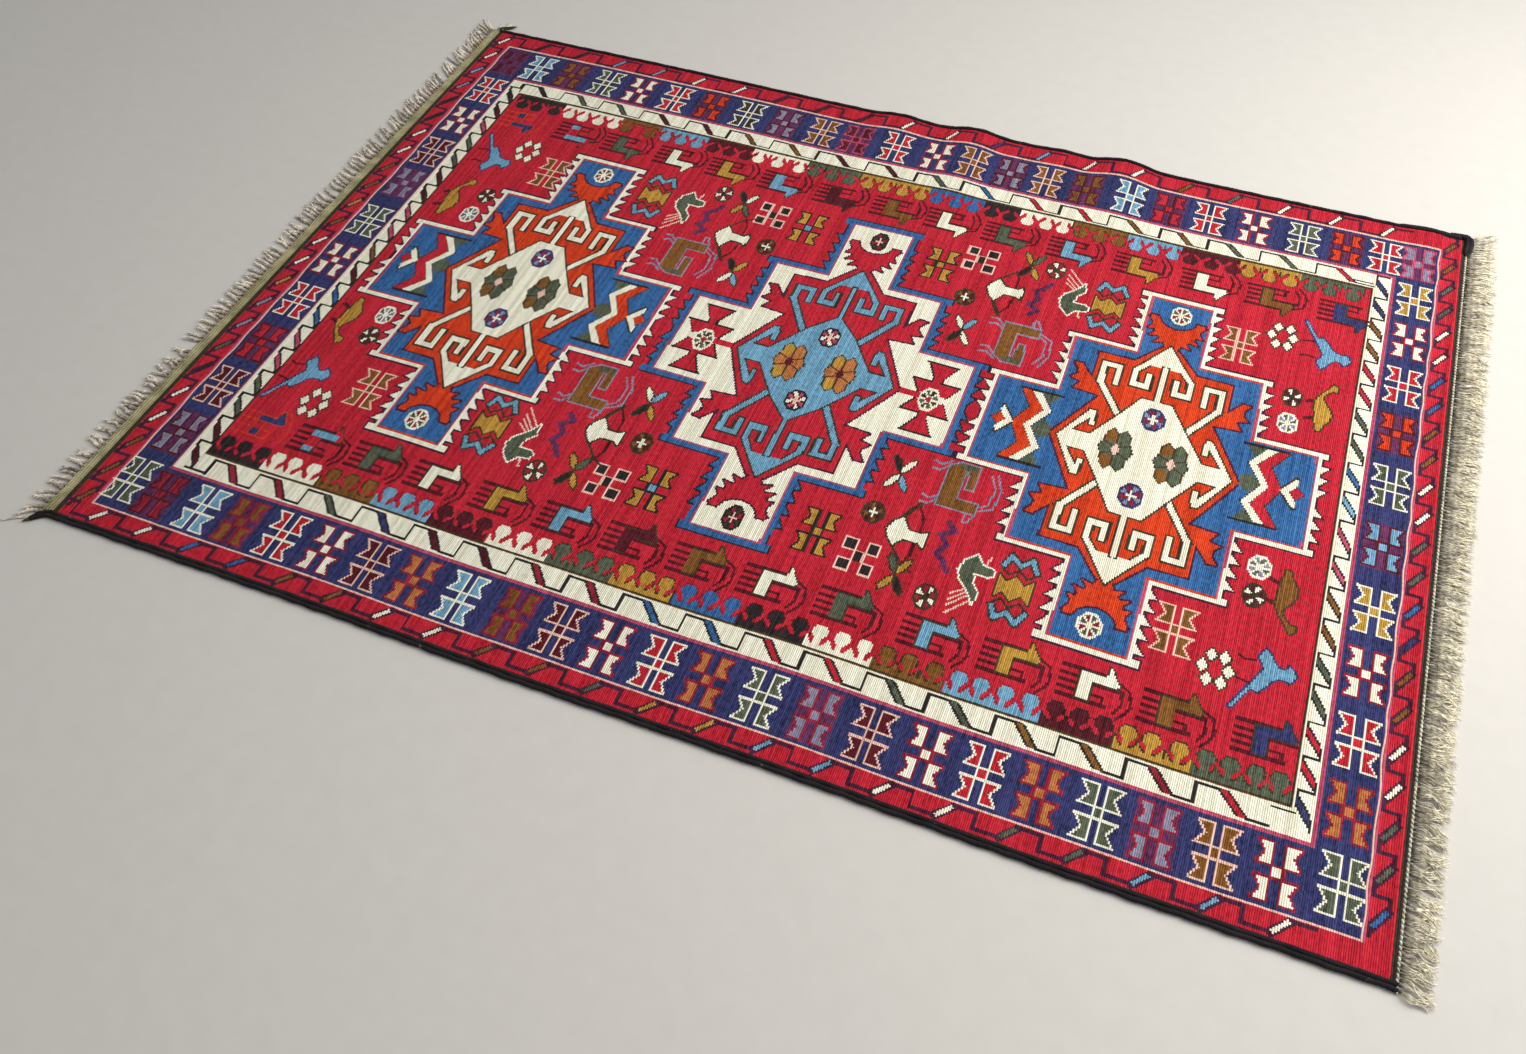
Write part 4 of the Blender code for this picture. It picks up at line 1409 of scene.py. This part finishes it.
for start, end, plump, turns in CORNER_YARNS:
    plied_yarn(left_yarns, Vector((*start, 0.0014)), Vector((*end, 0.001)), loose, plump, turns)
# each warp wool: its painted shade at the root, then its colour as painted in shade and in light
left_wools = [
    warp_wool("warp_left", LEFT_MAP, 6, (0.13, 0.08, 0.04), (0.13, 0.09, 0.06), (0.86, 0.78, 0.64)),
    band_wool("end_band"),
]
fringe_left = add_piece("fringe_left_yarns", left_yarns.mesh("fringe_left_yarns"), left_wools, "fringe_left")

# The right fringe
# Two strands are twined along the end of the weaving, one cream and one greenish. The warp ends run out
# of them unplied, and have opened into a soft, wavy fringe, painted darker with shade towards its roots and
# paler towards its tips.
RIGHT_LIE = (
    # the same at the right end
    (-0.5765, 0.0340, -0.0090), (-0.5600, 0.0350, -0.0050), (-0.2000, 0.0390, -0.0030),
    (0.1000, 0.0420, 0.0020), (0.4500, 0.0440, 0.0050), (0.5400, 0.0400, 0.0130), (0.5765, 0.0400, 0.0270),
)
RIGHT_MAP, TWINE_STRETCH = (36, 54), 24
TWINE_X, TWINE_HEIGHT, TWINE_FAR = 0.7970, 0.0019, 0.5420
TWINE_PITCH, TWINE_STEPS, TWINE_REACH = 0.0056, 7, 0.0008
BUNCH = 7                       # warp ends in a bunch
RIGHT_ROOT = 0.7984

loose = random.Random(29)
right_yarns = Yarns(*RIGHT_MAP)
twine_steps = round((TWINE_FAR - FRINGE_NEAR) / TWINE_PITCH * TWINE_STEPS)
for strand in (0, 1):
    path = []
    for step in range(twine_steps + 1):
        y = FRINGE_NEAR + (TWINE_FAR - FRINGE_NEAR) * step / twine_steps
        angle = 2 * math.pi * step / TWINE_STEPS + math.pi * strand
        place = lay(TWINE_X, y, TWINE_HEIGHT)
        path.append(place + Vector((TWINE_REACH * math.cos(angle), 0.0, TWINE_REACH * math.sin(angle))))
    right_yarns.yarn(path, [0.0010] * len(path), 5, 1 + strand, TWINE_STRETCH)
bunch_y = FRINGE_NEAR + 0.002
while bunch_y < FRINGE_FAR:
    length, lean = lie(RIGHT_LIE, bunch_y)
    own_lean, own_length = loose.uniform(-0.0044, 0.0044), loose.uniform(0.93, 1.02)
    sway = (loose.uniform(0.0012, 0.0040), loose.uniform(0.6, 1.3), loose.uniform(0, 6.3))
    for end in range(BUNCH):
        spread = (end - BUNCH // 2) / (BUNCH // 2)
        root = lay(RIGHT_ROOT, bunch_y + 0.0011 * spread, 0.0012)
        tip_x = RIGHT_ROOT + length * own_length * loose.uniform(0.80, 1.04)
        tip = lay(tip_x, bunch_y + 0.0032 * spread + lean + own_lean + loose.uniform(-0.0022, 0.0022), 0.0009)
        radius, curl = loose.uniform(0.00040, 0.00062), loose.uniform(0.0008, 0.0026)
        loose_hair(right_yarns, root, tip, loose, radius, 7, curl, 0.0066, sway)
    bunch_y += loose.uniform(0.0047, 0.0059)
# each warp wool: its painted shade at the root, then its colour as painted in shade and in light
right_wools = [
    warp_wool("warp_right", RIGHT_MAP, 5, (0.06, 0.035, 0.015), (0.13, 0.085, 0.045), (0.93, 0.86, 0.65)),
    warp_wool("twine_cream", RIGHT_MAP, 9, (0.60, 0.56, 0.42), (0.42, 0.38, 0.26), (0.86, 0.82, 0.68)),
    warp_wool("twine_green", RIGHT_MAP, 9, (0.12, 0.14, 0.07), (0.07, 0.08, 0.04), (0.34, 0.36, 0.22)),
]
fringe_right = add_piece(
    "fringe_right_yarns", right_yarns.mesh("fringe_right_yarns"), right_wools, "fringe_right")

# The room
# A plain pale floor, soft light from above and from a window at the right, and the camera where the
# photo was taken.
floor_mesh = bpy.data.meshes.new("floor")
floor_mesh.from_pydata([(-8, -8, 0), (8, -8, 0), (8, 8, 0), (-8, 8, 0)], [], [(0, 1, 2, 3)])
floor = bpy.data.objects.new("floor", floor_mesh)
bpy.context.scene.collection.objects.link(floor)
pale = Finish("pale_floor", 0.0)
grain = pale.noise(pale.in_metres(), 40.0)
floor_colour = pale.mixed((0.54, 0.515, 0.47), (0.58, 0.555, 0.51), grain)
floor_mesh.materials.append(pale.finished(floor_colour, 0.7 + grain * 0.1, grain, 0.0001))

LIGHTS = (
    # name, place, width, power, colour
    ("overhead", (0.7, 0.2, 2.8), 2.4, 27, (1.0, 0.98, 0.95)),
    ("window", (1.90, 0.64, 1.55), 1.6, 68, (1.0, 0.98, 0.95)),
)
for name, place, width, power, colour in LIGHTS:
    lamp = bpy.data.lights.new(name, "AREA")
    lamp.size, lamp.energy, lamp.color = width, power, colour
    light = bpy.data.objects.new(name, lamp)
    light.location = place
    light.rotation_mode = "QUATERNION"
    light.rotation_quaternion = (-Vector(place)).to_track_quat("-Z", "Y")
    bpy.context.scene.collection.objects.link(light)
world = bpy.data.worlds.new("soft_room")
world.use_nodes = True
world.node_tree.nodes["Background"].inputs["Color"].default_value = (0.9, 0.93, 1.0, 1.0)
world.node_tree.nodes["Background"].inputs["Strength"].default_value = 0.42
bpy.context.scene.world = world
bpy.context.scene.view_settings.view_transform = "Standard"

view_camera = bpy.data.cameras.new("camera")
view_camera.sensor_width, view_camera.lens = 36.0, 29.585
view_camera.clip_start, view_camera.clip_end = 0.01, 50.0
camera = bpy.data.objects.new("camera", view_camera)
camera_right, camera_up = (0.92991, 0.36751, -0.01414), (-0.28385, 0.74162, 0.60781)
camera_back = (0.23386, -0.56120, 0.79396)
turn = Matrix((camera_right, camera_up, camera_back)).transposed()
camera.matrix_world = Matrix.Translation((0.39105, -1.13422, 1.21169 + CLOTH_THICKNESS)) @ turn.to_4x4()
bpy.context.scene.collection.objects.link(camera)
bpy.context.scene.camera = camera
